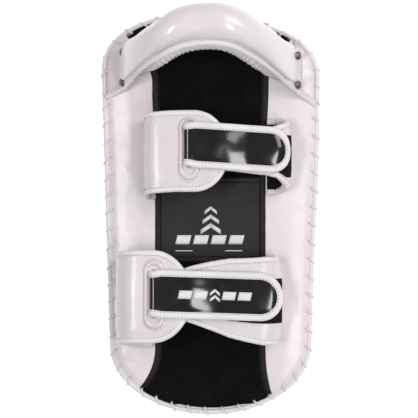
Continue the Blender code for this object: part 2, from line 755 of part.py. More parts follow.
def build_slot_ring(spec, finish, parent):
    """Raised leather ring that is sewn round the slot."""
    x, y, half_x, half_y = spec["slot"]
    outer_x, outer_y = spec["ring"]
    rings = []
    inner_x, inner_y = half_x + RING_CLEARANCE, half_y + RING_CLEARANCE
    corners = ((inner_x, inner_y, 0.0), (outer_x, outer_y, 0.0), (outer_x, outer_y, RING_THICK),
               (inner_x, inner_y, RING_THICK))
    base = RIM + FLAP_H + PLY_LIFT + 0.5 * PLY + GAP
    for wide, long, lift in corners:
        ring = []
        for i in range(20):
            angle = 2.0 * math.pi * (i + 0.5) / 20
            bow = math.copysign(long - wide, math.sin(angle))
            ring.append((x + wide * math.cos(angle), y + bow + wide * math.sin(angle), base + lift))
        rings.append(ring)
    add_mesh(spec["name"] + "_slot_ring", loft(rings, stack_is_loop=True), finish, parent)


def build_flap(spec, white, lining, binding, cutter, parent):
    name = spec["name"]
    path = StrapPath(spec["flap_path"])
    low, high = spec["flap_y"]
    half = spec["flap_half"]
    inner = half - BINDING - 2.0 * GAP
    reach = (0.0, path.length)
    inner_reach = (0.0, path.length - BINDING - 2.0 * GAP)

    def centre(distance):
        return low + (high - low) * smooth_step(0.0, 0.6 * path.length, distance)

    round_end = half * FLAP_ROUND
    for part, lift, finish in (("cover", PLY_LIFT, white), ("lining", -PLY_LIFT, lining)):
        layer = strap_sheet(f"{name}_flap_{part}", path, inner_reach, centre, lambda _: inner, lift,
                            PLY, finish, parent, round_end - BINDING)
        cut(layer, cutter)
    strap_binding(f"{name}_flap_binding", path, reach, centre, lambda _: half, 0.0, FLAP_BINDING_THICK,
                  binding, parent, round_end)
    build_slot_ring(spec, white, parent)


def build_wing(spec, white, lining, binding, patch, parent):
    name = spec["name"]
    path = StrapPath(spec["wing_path"])
    low, high = spec["wing_y"]
    reach = (0.0, path.length)

    def centre(distance):
        return low + (high - low) * smooth_step(0.25 * path.length, 0.8 * path.length, distance)

    def half(distance):
        return blend_value(distance, spec["wing_halves"])

    def inner(distance):
        return half(distance) - BINDING - 2.0 * GAP

    # the path runs right, up and back, so its left-hand normal faces into the loop
    inner_reach = (0.0, path.length - BINDING - 2.0 * GAP)
    for part, lift, finish in (("cover", -PLY_LIFT, white), ("lining", PLY_LIFT, lining)):
        strap_sheet(f"{name}_wing_{part}", path, inner_reach, centre, inner, lift, PLY, finish, parent)
    strap_binding(f"{name}_wing_binding", path, reach, centre, half, 0.0, FLAP_BINDING_THICK, binding,
                  parent)

    def patch_half(distance):
        return min(spec["tongue_half"] - PATCH_MARGIN, inner(distance) - PATCH_INSET)

    rows = stations(path, 0.0, path.length)
    start = next(distance for distance in rows if path.at(distance)[0].y > RIM + LOOP_PATCH_H)
    stop = next(distance for distance in rows[::-1] if path.at(distance)[0].x > spec["patch_x"])
    lift = -(PLY_LIFT + 0.5 * PLY + GAP + 0.5 * PATCH_THICK)
    strap_sheet(f"{name}_loop_patch", path, (start, stop), centre, patch_half, lift, PATCH_THICK, patch,
                parent)


def tongue_points(spec):
    """The tongue's path: over the flap's end, then down onto the wing and round its shoulder."""
    wing = StrapPath(spec["wing_path"])
    seat_x, tip_h = spec["tongue_tail"]
    tail = []
    for distance in stations(wing, 0.0, wing.length):
        place, normal = wing.at(distance)
        seat = place - normal * SEAT_LIFT
        if seat.x > seat_x and seat.y > RIM + tip_h:
            tail.append((seat.x, seat.y - RIM))
    return [*spec["tongue_start"], *tail[::-1]]


def build_tongue(spec, black, binding, patch, parent):
    name = spec["name"]
    path = StrapPath(tongue_points(spec))
    near, far = spec["tongue_y"]
    half = spec["tongue_half"]
    reach = (0.0, path.length)
    inner_reach = (0.0, path.length - BINDING - 2.0 * GAP)

    def centre(distance):
        return near + (far - near) * distance / path.length

    strap_sheet(f"{name}_tongue", path, inner_reach, centre, lambda _: half - BINDING - 2.0 * GAP, 0.0,
                TONGUE_THICK, black, parent, half - BINDING)
    strap_binding(f"{name}_tongue_binding", path, reach, centre, lambda _: half, 0.0, TONGUE_BINDING_THICK,
                  binding, parent, half)
    hook_start = next(distance for distance in stations(path, *reach) if distance > HOOK_START * path.length)
    hook_reach = (hook_start, path.length - BINDING - HOOK_STOP)
    lift = -(0.5 * TONGUE_THICK + GAP + 0.5 * PATCH_THICK)
    strap_sheet(f"{name}_hook_patch", path, hook_reach, centre, lambda _: half - BINDING - HOOK_MARGIN,
                lift, PATCH_THICK, patch, parent)


def build_turn(spec, black, parent):
    """The strap's short upright run through the slot, between the wing below and the tongue above."""
    x, _, _, _ = spec["slot"]
    middle = spec["tongue_y"][0]
    half = spec["tongue_half"] - TURN_MARGIN
    grid = []
    for px, h in ((x, WING_H + 0.0032), (x - 0.0004, FLAP_H), (spec["turn_x"] + 0.0016, TONGUE_H - 0.0030)):
        grid.append([(px, middle - half + half * i, RIM + h) for i in range(3)])
    solidify(add_mesh(spec["name"] + "_strap_turn", sheet(grid), black, parent), TURN_THICK)


def build_strap(spec, finishes):
    white, lining, binding, black, patch = finishes
    name = spec["name"]
    flap_pivot = add_pivot(name + "_flap_pivot", *spec["flap_hinge"])
    wing_pivot = add_pivot(name + "_wing_pivot", *spec["wing_path"][0])
    tongue_pivot = add_pivot(name + "_tongue_pivot", spec["turn_x"], TONGUE_H)
    cutter = slot_cutter(name + "_slot_cutter", spec)
    build_flap(spec, white, lining, binding, cutter, flap_pivot)
    build_wing(spec, white, lining, binding, patch, wing_pivot)
    build_turn(spec, black, flap_pivot)
    build_tongue(spec, black, binding, patch, tongue_pivot)


# ---------------------------------------------------------------- the whole pad
def main():
    clear_scene()
    white = material("white_leather", WHITE, 0.32)
    welt_white = material("white_binding", BINDING_WHITE, 0.45)
    velvet = material("black_suede", BLACK, 0.95)
    smooth_black = material("black_vinyl", SMOOTH_BLACK, 0.5)
    gloss_black = material("black_gloss_leather", BLACK, 0.22)
    patch = material("hook_and_loop", BLACK, 1.0)
    foam = material("foam", FOAM, 0.9)
    lace = material("lace", LACE, 0.7)
    steel = material("rivet_steel", STEEL, 0.3, metallic=1.0)
    material("cutter", STEEL, 0.5)

    build_strike_cover(white)
    build_foam(foam)
    build_back(white, velvet, smooth_black)
    build_edge(welt_white, lace)
    build_guard(white, welt_white, welt_white, foam, steel)
    build_handle(white, steel)
    for spec in (UPPER, LOWER):
        build_strap(spec, (white, velvet, welt_white, gloss_black, patch))


main()
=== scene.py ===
"""Looks of the thai pad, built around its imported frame.

+X is across the pad, +Y runs along the forearm towards the hand guard and +Z points away from the strike
face. Heights called h are measured up from RIM, the level of the laced edge.
"""

import math

import bmesh
import bpy
import numpy as np
from mathutils import Matrix, Vector, noise


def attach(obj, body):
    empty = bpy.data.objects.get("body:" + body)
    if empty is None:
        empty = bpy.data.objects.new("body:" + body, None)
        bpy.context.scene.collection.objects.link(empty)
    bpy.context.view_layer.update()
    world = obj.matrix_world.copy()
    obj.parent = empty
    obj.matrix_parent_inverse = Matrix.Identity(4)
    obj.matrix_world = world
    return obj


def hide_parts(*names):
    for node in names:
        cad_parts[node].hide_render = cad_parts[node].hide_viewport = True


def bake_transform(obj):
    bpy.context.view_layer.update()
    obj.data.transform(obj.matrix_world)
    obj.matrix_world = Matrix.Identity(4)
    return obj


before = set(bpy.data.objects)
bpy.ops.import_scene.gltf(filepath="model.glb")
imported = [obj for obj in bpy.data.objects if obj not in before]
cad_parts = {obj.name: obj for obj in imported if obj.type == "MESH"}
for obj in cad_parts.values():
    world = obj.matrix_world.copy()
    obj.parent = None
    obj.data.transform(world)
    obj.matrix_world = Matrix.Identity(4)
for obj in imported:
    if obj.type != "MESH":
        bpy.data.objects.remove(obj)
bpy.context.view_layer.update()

# ---------------------------------------------------------------- dimensions in metres, most as in the frame
LENGTH_HEAD = 0.141
LENGTH_FOOT = -0.131
HEAD_REACH = 0.060
FOOT_REACH = 0.070
HEAD_HALF = 0.108
FOOT_HALF = 0.100
HEAD_POWER = 2.3
SIDE_SWELL = 0.0008
SIDE_BELLY = 0.0016
SHOULDER_DROP = 0.0072
RIM = 0.084
CROWN = 0.0075
CROWN_RUN = 0.0135
CHANNEL = 0.005
CHANNEL_HALF = 0.075
BINDING = 0.006
TONGUE_BINDING = 0.0068
MIDDLE_PANEL = (-0.048, 0.035)
STITCHES = 62
SIDES = ((-1, "left"), (1, "right"))

GUARD_SPAN = 0.0715
GUARD_BASE_H = 0.0155
GUARD_RISE = 0.0665
GUARD_POWER = 3.4
GUARD_LEAN = 0.14
GUARD_LEFT = 0.0034
GUARD_MID_Y = 0.181
GUARD_SWEEP = 4.6
GUARD_HALF_Y = 0.018
GUARD_HALF_Z = 0.015

GRIP_RADIUS = 0.0095
GRIP_HALF = 0.038
GRIP_H = 0.030
GRIP_Y = 0.180

# A strap is a leather cover over a suede lining. Both tuck under the tape that binds the strap's edge.
# COVER_TOP and COVER_UNDER are the cover's faces over the strap's middle. The lining's lie as far below.
PLY = 0.0018
PLY_LIFT = 0.0011
COVER_TOP = PLY_LIFT + 0.5 * PLY
COVER_UNDER = PLY_LIFT - 0.5 * PLY
TUCK = BINDING - 0.0016
STRAP_TAPE = 0.0028
TONGUE_TAPE = 0.0021
RING_STEPS = 140
STRAP_STEP = 0.0020
STRAP_COLUMNS = 26
FLAP_H = 0.0486
WING_H = 0.0430
TONGUE_H = 0.0546
SEAT_LIFT = 0.0068
ROOT_LOW = 0.0106
ROOT_HIGH = 0.0305

# Strap paths are (x, h) points. Halves and head are half widths towards the foot and the head by distance.
UPPER = {
    "name": "upper",
    "flap_path": [(-0.0556, 0.0104), (-0.0600, 0.0140), (-0.0622, 0.0220), (-0.0620, 0.0330),
                  (-0.0606, 0.0412), (-0.0575, 0.0456), (-0.0520, 0.0475), (-0.0440, 0.0482),
                  (-0.0330, FLAP_H - 0.0001), (-0.0200, FLAP_H), (0.0000, FLAP_H), (0.0185, FLAP_H)],
    "flap_y": (0.0560, 0.0602),
    "flap_half": 0.0396,
    "slot": (-0.0206, 0.0612),
    "ring": (0.0115, 0.0320),
    "wing_path": [(0.0566, 0.0106), (0.0630, 0.0120), (0.0700, 0.0170), (0.0737, 0.0250), (0.0725, 0.0335),
                  (0.0678, 0.0395), (0.0605, 0.0421), (0.0500, WING_H - 0.0002), (0.0360, WING_H),
                  (0.0100, WING_H), (-0.0180, WING_H)],
    "wing_y": (0.0555, 0.0625),
    "wing_halves": [(0.0000, 0.0378), (0.0100, 0.0374), (0.0180, 0.0352), (0.0260, 0.0318), (0.0380, 0.0258),
                    (0.0450, 0.0216), (0.0560, 0.0204), (0.0700, 0.0210)],
    "wing_head": [(0.0000, 0.0377), (0.0160, 0.0377), (0.0280, 0.0345), (0.0420, 0.0303), (0.0520, 0.0264),
                  (0.0600, 0.0235), (0.0720, 0.0215)],
    "turn_x": -0.0232,
    "tongue_run": [(0.0020, TONGUE_H), (0.0190, TONGUE_H - 0.0014)],
    "tongue_seat": (0.0350, 0.0600),
    "tongue_tip": [(0.0672, 0.0482), (0.0730, 0.0456), (0.0772, 0.0412)],
    "tongue_y": (0.0664, 0.0602),
    "tongue_half": 0.0224,
    "patch_x": 0.0400,
    "crown": 0.0028,
    "flap_seed": 1.3,
    "wing_seed": 2.9,
    "tongue_seed": 3.3,
}
LOWER_WING = [(0.0000, 0.0435), (0.0420, 0.0430), (0.0750, 0.0385), (0.1000, 0.0315), (0.1230, 0.0245),
              (0.1500, 0.0226)]
LOWER = {
    "name": "lower",
    "flap_path": [(-0.0576, 0.0106), (-0.0680, 0.0136), (-0.0780, 0.0170), (-0.0858, 0.0222),
                  (-0.0895, 0.0305), (-0.0872, 0.0395), (-0.0795, 0.0463), (-0.0680, FLAP_H),
                  (-0.0400, FLAP_H), (-0.0177, FLAP_H)],
    "flap_y": (-0.0850, -0.0807),
    "flap_half": 0.0451,
    "slot": (-0.0543, -0.0787),
    "ring": (0.0121, 0.0359),
    "wing_path": [(0.0556, 0.0106), (0.0600, 0.0130), (0.0640, 0.0200), (0.0638, 0.0300), (0.0602, 0.0382),
                  (0.0530, 0.0416), (0.0430, WING_H - 0.0003), (0.0300, WING_H), (0.0000, WING_H),
                  (-0.0520, WING_H)],
    "wing_y": (-0.0855, -0.0790),
    "wing_halves": LOWER_WING,
    "wing_head": LOWER_WING,
    "turn_x": -0.0563,
    "tongue_run": [(-0.0350, TONGUE_H), (-0.0180, TONGUE_H - 0.0013)],
    "tongue_seat": (0.0040, 0.0530),
    "tongue_tip": [(0.0600, 0.0490), (0.0652, 0.0474), (0.0702, 0.0447)],
    "tongue_y": (-0.0774, -0.0818),
    "tongue_half": 0.0235,
    "patch_x": 0.0150,
    "crown": 0.0042,
    "flap_seed": 4.7,
    "wing_seed": 6.1,
    "tongue_seed": 7.9,
}


# ---------------------------------------------------------------- small helpers
def sine_shares(count):
    """Shares from -1 to 1, closer together towards both ends."""
    return [math.sin(0.5 * math.pi * (2.0 * i / count - 1.0)) for i in range(count + 1)]


def smooth_step(low, high, x):
    """0 below low, 1 above high and smooth between them. Low may be the greater one."""
    share = min(max((x - low) / (high - low), 0.0), 1.0)
    return share * share * (3.0 - 2.0 * share)


def hill(x, middle, width):
    """1 in the middle, falling to 0 on both sides."""
    return math.exp(-((x - middle) / width) ** 2)


def read_pairs(x, pairs):
    """Linear reading of a list of (x, value) pairs."""
    if x <= pairs[0][0]:
        return pairs[0][1]
    for (x0, v0), (x1, v1) in zip(pairs, pairs[1:]):
        if x <= x1:
            return v0 + (v1 - v0) * (x - x0) / (x1 - x0)
    return pairs[-1][1]


def rough(x, y, z, scale, seed=0.0):
    """Smooth noise from -1 to 1 with features of about the given size."""
    return noise.noise(Vector((x / scale + seed, y / scale - seed, z / scale + 2.0 * seed)))


def add_shape(name, shape):
    """Puts a finished shape in the scene as a smooth object."""
    bmesh.ops.recalc_face_normals(shape, faces=shape.faces)
    mesh = bpy.data.meshes.new(name)
    shape.to_mesh(mesh)
    shape.free()
    mesh.shade_smooth()
    item = bpy.data.objects.new(name, mesh)
    bpy.context.scene.collection.objects.link(item)
    return item


def add_faces(shape, rows, loop_rows=False, loop_columns=False):
    """Quads between rows of vertices."""
    pairs = list(zip(rows, rows[1:]))
    if loop_rows:
        pairs.append((rows[-1], rows[0]))
    for near, far in pairs:
        count = len(near)
        for i in range(count if loop_columns else count - 1):
            j = (i + 1) % count
            shape.faces.new((near[i], near[j], far[j], far[i]))


def sweep(shape, rings, loop=False):
    """A closed tube through rings of points, capped when it isn't a loop."""
    rows = [[shape.verts.new(point) for point in ring] for ring in rings]
    add_faces(shape, rows, loop_rows=loop, loop_columns=True)
    if not loop:
        shape.faces.new(rows[0])
        shape.faces.new(rows[-1][::-1])
    return shape


def solid(shape, top, bottom):
    """A closed slab between two grids of the same size."""
    upper = [[shape.verts.new(point) for point in row] for row in top]
    lower = [[shape.verts.new(point) for point in row] for row in bottom]
    add_faces(shape, upper)
    add_faces(shape, [row[::-1] for row in lower])
    rims = [rows[0] + [row[-1] for row in rows[1:]] + rows[-1][-2::-1] + [row[0] for row in rows[-2:0:-1]]
            for rows in (upper, lower)]
    add_faces(shape, rims, loop_columns=True)
    return shape


def slab(top, drop):
    """A closed slab under a grid of points, whose underside lies a fixed step away."""
    return solid(bmesh.new(), top, [[at - Vector(drop) for at in row] for row in top])


def oval(middle, across, up, wide, tall, count):
    """A ring of points round a middle."""
    angles = np.linspace(0.0, 2.0 * math.pi, count + 1)[:-1]
    return [middle + across * wide * math.cos(a) + up * tall * math.sin(a) for a in angles]


def run_lengths(points):
    """Length along a polyline at each of its points."""
    lengths = [0.0]
    for here, after in zip(points, points[1:]):
        lengths.append(lengths[-1] + (after - here).length)
    return lengths


def directions(points):
    """Unit direction of a curve at each of its points."""
    last = len(points) - 1
    return [(points[min(i + 1, last)] - points[max(i - 1, 0)]).normalized() for i in range(last + 1)]


def smooth_curve(points, steps):
    """Catmull-Rom curve through the points."""
    ends = [points[0] * 2 - points[1], *points, points[-1] * 2 - points[-2]]
    made = []
    for p0, p1, p2, p3 in zip(ends, ends[1:], ends[2:], ends[3:]):
        for k in range(steps):
            t = k / steps
            made.append(0.5 * ((2 * p1) + (p2 - p0) * t + (2 * p0 - 5 * p1 + 4 * p2 - p3) * t * t
                               + (3 * p1 - p0 - 3 * p2 + p3) * t * t * t))
    return [*made, points[-1]]


def resample(points, step):
    """Evenly spaced points along a polyline, each with its direction."""
    lengths = run_lengths(points)
    count = max(int(lengths[-1] / step), 1)
    found = []
    index = 0
    for k in range(count + 1):
        target = lengths[-1] * k / count
        while index < len(points) - 2 and lengths[index + 1] < target:
            index += 1
        run = max(lengths[index + 1] - lengths[index], 1e-9)
        here, after = points[index], points[index + 1]
        found.append((here.lerp(after, (target - lengths[index]) / run), (after - here).normalized()))
    return found


# along the stitch, width and lift, in shares of a stitch's length and radius
THREAD = ((-0.5, 0.35, -0.2), (-0.32, 1.0, 0.55), (0.32, 1.0, 0.55), (0.5, 0.35, -0.2))


def stitch_line(shape, points, up, length=0.0021, pitch=0.0033, radius=0.00032):
    """A row of small thread capsules along a polyline. Up gives the surface normal at a point."""
    for place, along in resample(points, pitch):
        normal = up(place).normalized()
        across = along.cross(normal).normalized()
        rings = []
        for share, size, lift in THREAD:
            middle = place + along * (length * share) + normal * (radius * lift)
            rings.append(oval(middle, across, normal, radius * size, radius * size, 6))
        sweep(shape, rings)


def apply_modifiers(item):
    """The item's evaluated mesh becomes its own mesh."""
    graph = bpy.context.evaluated_depsgraph_get()
    graph.update()
    mesh = bpy.data.meshes.new_from_object(item.evaluated_get(graph))
    item.modifiers.clear()
    item.data = mesh
    mesh.name = item.name
    return item


def facing(x, y, z):
    """An up function for stitches that all face the same way."""
    return lambda _: Vector((x, y, z))


# ---------------------------------------------------------------- outline and back surface
def signed_power(value, power):
    """A power that keeps its sign."""
    return math.copysign(abs(value) ** power, value)


def outline(inset=0.0, end_steps=120, side_steps=90):
    """The pad's plan outline, anticlockwise, moved inwards by inset along its own normals."""
    foot, right, head, left = [], [], [], []
    power = 2.0 / HEAD_POWER
    for i in range(end_steps):
        angle = math.pi * i / end_steps
        foot.append((-FOOT_HALF * math.cos(angle), LENGTH_FOOT - FOOT_REACH * math.sin(angle)))
        head.append((HEAD_HALF * signed_power(math.cos(angle), power),
                     LENGTH_HEAD + HEAD_REACH * signed_power(math.sin(angle), power)))
    for i in range(side_steps):
        x = (HEAD_HALF - FOOT_HALF) * i / side_steps
        y = (LENGTH_HEAD - LENGTH_FOOT) * i / side_steps
        right.append((FOOT_HALF + x, LENGTH_FOOT + y))
        left.append((x - HEAD_HALF, LENGTH_HEAD - y))
    points = []
    for x, y in foot + right + head + left:
        belly = SIDE_BELLY * hill(y, 0.055, 0.060) if x > 0.0 else 0.0
        x += 0.0004 + math.copysign(SIDE_SWELL, x) + belly
        points.append((x, y - SHOULDER_DROP * smooth_step(0.015, 0.062, x) * smooth_step(0.108, 0.160, y)))
    moved = []
    for i, here in enumerate(points):
        before, after = Vector(points[i - 1]), Vector(points[(i + 1) % len(points)])
        along = (after - before).normalized()
        moved.append(Vector((here[0] - along.y * inset, here[1] + along.x * inset)))
    return moved


class Edge:
    """The outline as a line that is read by its length, with its outward normal."""

    def __init__(self, steps):
        raw = outline()
        raw.append(raw[0])
        lengths = run_lengths(raw)
        self.length = lengths[-1]
        self.places = []
        index = 0
        for k in range(steps):
            target = self.length * k / steps
            while lengths[index + 1] < target:
                index += 1
            share = (target - lengths[index]) / (lengths[index + 1] - lengths[index])
            self.places.append(raw[index].lerp(raw[index + 1], share))
        self.normals = []
        for k in range(steps):
            along = (self.places[(k + 2) % steps] - self.places[k - 2]).normalized()
            self.normals.append(Vector((along.y, -along.x)))
        self.steps = steps
        self.array = np.array([tuple(place) for place in self.places])

    def at(self, run):
        """Place and outward normal at a length along the outline."""
        step = (run / self.length) * self.steps
        index = int(math.floor(step))
        share = step - index
        a, b = index % self.steps, (index + 1) % self.steps
        normal = self.normals[a].lerp(self.normals[b], share).normalized()
        return self.places[a].lerp(self.places[b], share), normal

    def out(self, run):
        """Outward normal as a direction in space."""
        _, normal = self.at(run)
        return Vector((normal.x, normal.y, 0.0))

    def point(self, run, inset, h):
        """A place in space, moved in from the outline."""
        place, normal = self.at(run)
        return Vector((place.x - normal.x * inset, place.y - normal.y * inset, RIM + h))

    def nearest(self, x, y):
        """Distance inside the outline and length along it, at the nearest place."""
        index = int(np.argmin((self.array[:, 0] - x) ** 2 + (self.array[:, 1] - y) ** 2))
        place, normal = self.places[index], self.normals[index]
        return (place.x - x) * normal.x + (place.y - y) * normal.y, self.length * index / self.steps


EDGE = Edge(STITCHES * 24)


def back_height(x, y):
    """Height of the back over the rim: it swells inside the lacing and sinks along the channel."""
    inset, _ = EDGE.nearest(x, y)
    crown = CROWN * (1.0 - math.exp(-max(inset, 0.0) / CROWN_RUN))
    dip = 0.5 * CHANNEL * (1.0 + math.cos(math.pi * min(abs(x) / CHANNEL_HALF, 1.0)))
    return crown - dip


def on_back(x, y, lift=0.0):
    """A place on the back."""
    return Vector((x, y, RIM + back_height(x, y) + lift))


def back_normal(place):
    """The back's normal under a place."""
    step = 0.001
    dx = back_height(place.x + step, place.y) - back_height(place.x - step, place.y)
    dy = back_height(place.x, place.y + step) - back_height(place.x, place.y - step)
    return Vector((-dx / (2 * step), -dy / (2 * step), 1.0)).normalized()


def strip_edge(side, y):
    """x of the channel's edge, which flares towards both ends."""
    foot_flare = 0.0195 if side < 0 else 0.0060
    head = 0.0030 * smooth_step(0.050, 0.130, y) + 0.0245 * max((y - 0.132) / 0.043, 0.0) ** 1.6
    foot = foot_flare * max((-0.135 - y) / 0.044, 0.0) ** 2
    return side * (0.0545 + head + foot)


def crossing(value, points, side, known, sought):
    """Where an outline's known coordinate passes a value, on its positive or negative side."""
    for here, after in zip(points, points[1:] + points[:1]):
        low, high = here[known], after[known]
        if side * (here[sought] + after[sought]) > 0.0 and (low - value) * (high - value) <= 0.0:
            if abs(high - low) > 1e-9:
                return here[sought] + (after[sought] - here[sought]) * (value - low) / (high - low)
    return None


def side_x(y, points, side):
    """x where an outline crosses y on the right (side=1) or the left (side=-1)."""
    return crossing(y, points, side, 1, 0)


def end_y(x, points, end):
    """y where an outline crosses x at the head (end=1) or the foot (end=-1)."""
    return crossing(x, points, end, 0, 1)


def strip_tip(side, end, points):
    """y where the channel's edge meets an outline at the head or the foot."""
    near, far = end * 0.120, end * 0.190
    for _ in range(30):
        y = 0.5 * (near + far)
        rim = side_x(y, points, side)
        if rim is not None and abs(rim) > abs(strip_edge(side, y)) + 0.0015:
            near = y
        else:
            far = y
    return near


# ---------------------------------------------------------------- materials
class Nodes:
    """Short names for building a shader tree."""

    def __init__(self, name):
        self.material = bpy.data.materials.new(name)
        self.material.use_nodes = True
        self.tree = self.material.node_tree
        self.shader = self.tree.nodes["Principled BSDF"]
        self.place = self.tree.nodes.new("ShaderNodeTexCoord").outputs["Object"]

    def add(self, kind, settings=(), **inputs):
        node = self.tree.nodes.new(kind)
        for key, value in dict(settings).items():
            setattr(node, key, value)
        for key, value in inputs.items():
            self.feed(next(s for s in node.inputs if s.name == key.replace("_", " ") and s.enabled), value)
        return node

    def feed(self, target, value):
        if isinstance(value, bpy.types.NodeSocket):
            self.tree.links.new(value, target)
        else:
            target.default_value = value

    def noise(self, size, detail=3.0, roughness=0.55, distortion=0.0):
        return self.add("ShaderNodeTexNoise", Vector=self.place, Scale=1.0 / size, Detail=detail,
                        Roughness=roughness, Distortion=distortion).outputs[0]

    def cells(self, size, feature="F1"):
        return self.add("ShaderNodeTexVoronoi", {"feature": feature}, Vector=self.place, Scale=1.0 / size)

    def span(self, value, low, high, out_low=0.0, out_high=1.0):
        node = self.add("ShaderNodeMapRange", Value=value)
        for index, number in enumerate((low, high, out_low, out_high), start=1):
            node.inputs[index].default_value = number
        return node.outputs[0]

    def math(self, operation, a, b):
        node = self.tree.nodes.new("ShaderNodeMath")
        node.operation = operation
        for index, value in enumerate((a, b)):
            self.feed(node.inputs[index], value)
        return node.outputs[0]

    def blend(self, factor, a, b):
        node = self.tree.nodes.new("ShaderNodeMix")
        node.data_type = "RGBA"
        for index, value in ((0, factor), (6, a), (7, b)):
            self.feed(node.inputs[index], value)
        return node.outputs[2]

    def bump(self, height, distance, strength=1.0, below=None):
        node = self.add("ShaderNodeBump", Height=height, Distance=distance, Strength=strength)
        if below is not None:
            self.tree.links.new(below, node.inputs["Normal"])
        return node.outputs[0]

    def out(self, **inputs):
        """Sets the shader's sockets and returns the material."""
        for key, value in inputs.items():
            self.feed(self.shader.inputs[key.replace("_", " ")], value)
        return self.material


def shade(colour, factor):
    """A colour made darker or lighter."""
    return tuple(channel * factor for channel in colour[:3]) + (1.0,)


def leather(name, colour, roughness, grain=0.00075, depth=0.000018, coat=0.0, coat_roughness=0.25,
            specular=0.45, mottle=0.05, crease=0.00006, coat_ior=1.5):
    """Grained leather: pebbles, fine pores, a few long creases and slow changes of tone."""
    n = Nodes(name)
    slow = n.noise(0.035, 4.0, 0.6)
    patches = n.noise(0.009, 5.0, 0.6, 0.4)
    tone = n.blend(n.span(slow, 0.35, 0.68), shade(colour, 1.0 - mottle), shade(colour, 1.0 + 0.35 * mottle))
    tone = n.blend(n.span(patches, 0.45, 0.75, 0.0, 0.5), tone, shade(colour, 1.0 - 0.9 * mottle))
    pebble = n.cells(grain, "SMOOTH_F1").outputs["Distance"]
    pore = n.noise(grain * 0.35, 2.0, 0.5)
    fold = n.noise(0.0060, 5.0, 0.62, 1.1)
    valley = n.span(pebble, 0.0, 0.75, 1.0, 0.0)
    tone = n.blend(n.span(valley, 0.75, 1.0, 0.0, 0.22), tone, shade(colour, 0.80))
    normal = n.bump(fold, crease * 3.0, 0.8)
    normal = n.bump(pebble, depth, 0.9, normal)
    normal = n.bump(pore, depth * 0.4, 0.6, normal)
    gloss = n.math("ADD", n.span(patches, 0.3, 0.7, roughness - 0.05, roughness + 0.06),
                   n.span(valley, 0.6, 1.0, 0.0, 0.07))
    return n.out(Base_Color=tone, Roughness=gloss, Normal=normal, Specular_IOR_Level=specular,
                 Coat_Weight=coat, Coat_Roughness=coat_roughness, Coat_IOR=coat_ior)


def velvet(name, colour, specks=0.10):
    """Suede or velvet: a dark nap in brushed patches with a few specks of lint."""
    n = Nodes(name)
    nap = n.noise(0.00045, 2.0, 0.7)
    brushed = n.noise(0.022, 4.0, 0.55, 0.8)
    tone = n.blend(n.span(brushed, 0.40, 0.70), shade(colour, 0.75), shade(colour, 1.5))
    tone = n.blend(n.span(nap, 0.3, 0.8, 0.0, 0.55), tone, shade(colour, 2.1))
    lint = n.cells(0.0034)
    dot = n.math("LESS_THAN", lint.outputs["Distance"], 0.055)
    rare = n.math("GREATER_THAN", n.noise(0.0052, 1.0, 0.5), 0.60)
    tone = n.blend(n.math("MULTIPLY", dot, rare), tone, (specks * 1.1, specks, specks * 0.9, 1.0))
    normal = n.bump(nap, 0.00035, 0.8)
    return n.out(Base_Color=tone, Normal=normal, Roughness=0.95, Specular_IOR_Level=0.08, Sheen_Weight=0.05,
                 Sheen_Roughness=0.4)


def woven(name, colour, size, roughness=0.8, specular=0.3):
    """Fine woven tape or twisted thread."""
    n = Nodes(name)
    fibre = n.noise(size, 3.0, 0.6)
    tone = n.blend(n.span(fibre, 0.35, 0.7), shade(colour, 0.82), shade(colour, 1.08))
    return n.out(Base_Color=tone, Normal=n.bump(fibre, size * 0.5, 0.7), Roughness=roughness,
                 Specular_IOR_Level=specular)


def pile(name, colour):
    """Hook-and-loop tape: dense short loops."""
    n = Nodes(name)
    loops = n.cells(0.0009).outputs["Distance"]
    fuzz = n.noise(0.0006, 3.0, 0.7)
    tone = n.blend(n.span(loops, 0.1, 0.7), shade(colour, 1.7), shade(colour, 0.6))
    normal = n.bump(fuzz, 0.0005, 0.9, n.bump(loops, 0.0006, 0.9))
    return n.out(Base_Color=tone, Normal=normal, Roughness=1.0, Specular_IOR_Level=0.1)


def worn_metal(name, colour):
    """Rivet steel, tarnished in spots and scratched."""
    n = Nodes(name)
    spots = n.noise(0.0012, 4.0, 0.65, 0.5)
    scratch = n.noise(0.0004, 2.0, 0.5)
    tone = n.blend(n.span(spots, 0.42, 0.62), shade(colour, 0.35), shade(colour, 1.15))
    gloss = n.span(spots, 0.35, 0.70, 0.42, 0.22)
    return n.out(Base_Color=tone, Roughness=gloss, Normal=n.bump(scratch, 0.00005, 0.5), Metallic=1.0)


def printed(name, colour):
    """Screen-printed ink, a little broken up over the grain."""
    n = Nodes(name)
    crackle = n.noise(0.0008, 4.0, 0.7)
    tone = n.blend(n.span(crackle, 0.30, 0.46), shade(colour, 0.72), colour)
    return n.out(Base_Color=tone, Normal=n.bump(crackle, 0.00006, 0.5), Roughness=0.5)


WHITE = (0.800, 0.735, 0.770, 1.0)
GUARD_WHITE = (0.765, 0.708, 0.742, 1.0)
# The straps' white is the white leather's, made darker: painted shade on the raised straps
STRAP_WHITE_PAINTED_SHADE = (0.730, 0.672, 0.695, 1.0)
TAPE_WHITE = (0.790, 0.760, 0.755, 1.0)
PALE_LINING = (0.700, 0.675, 0.670, 1.0)

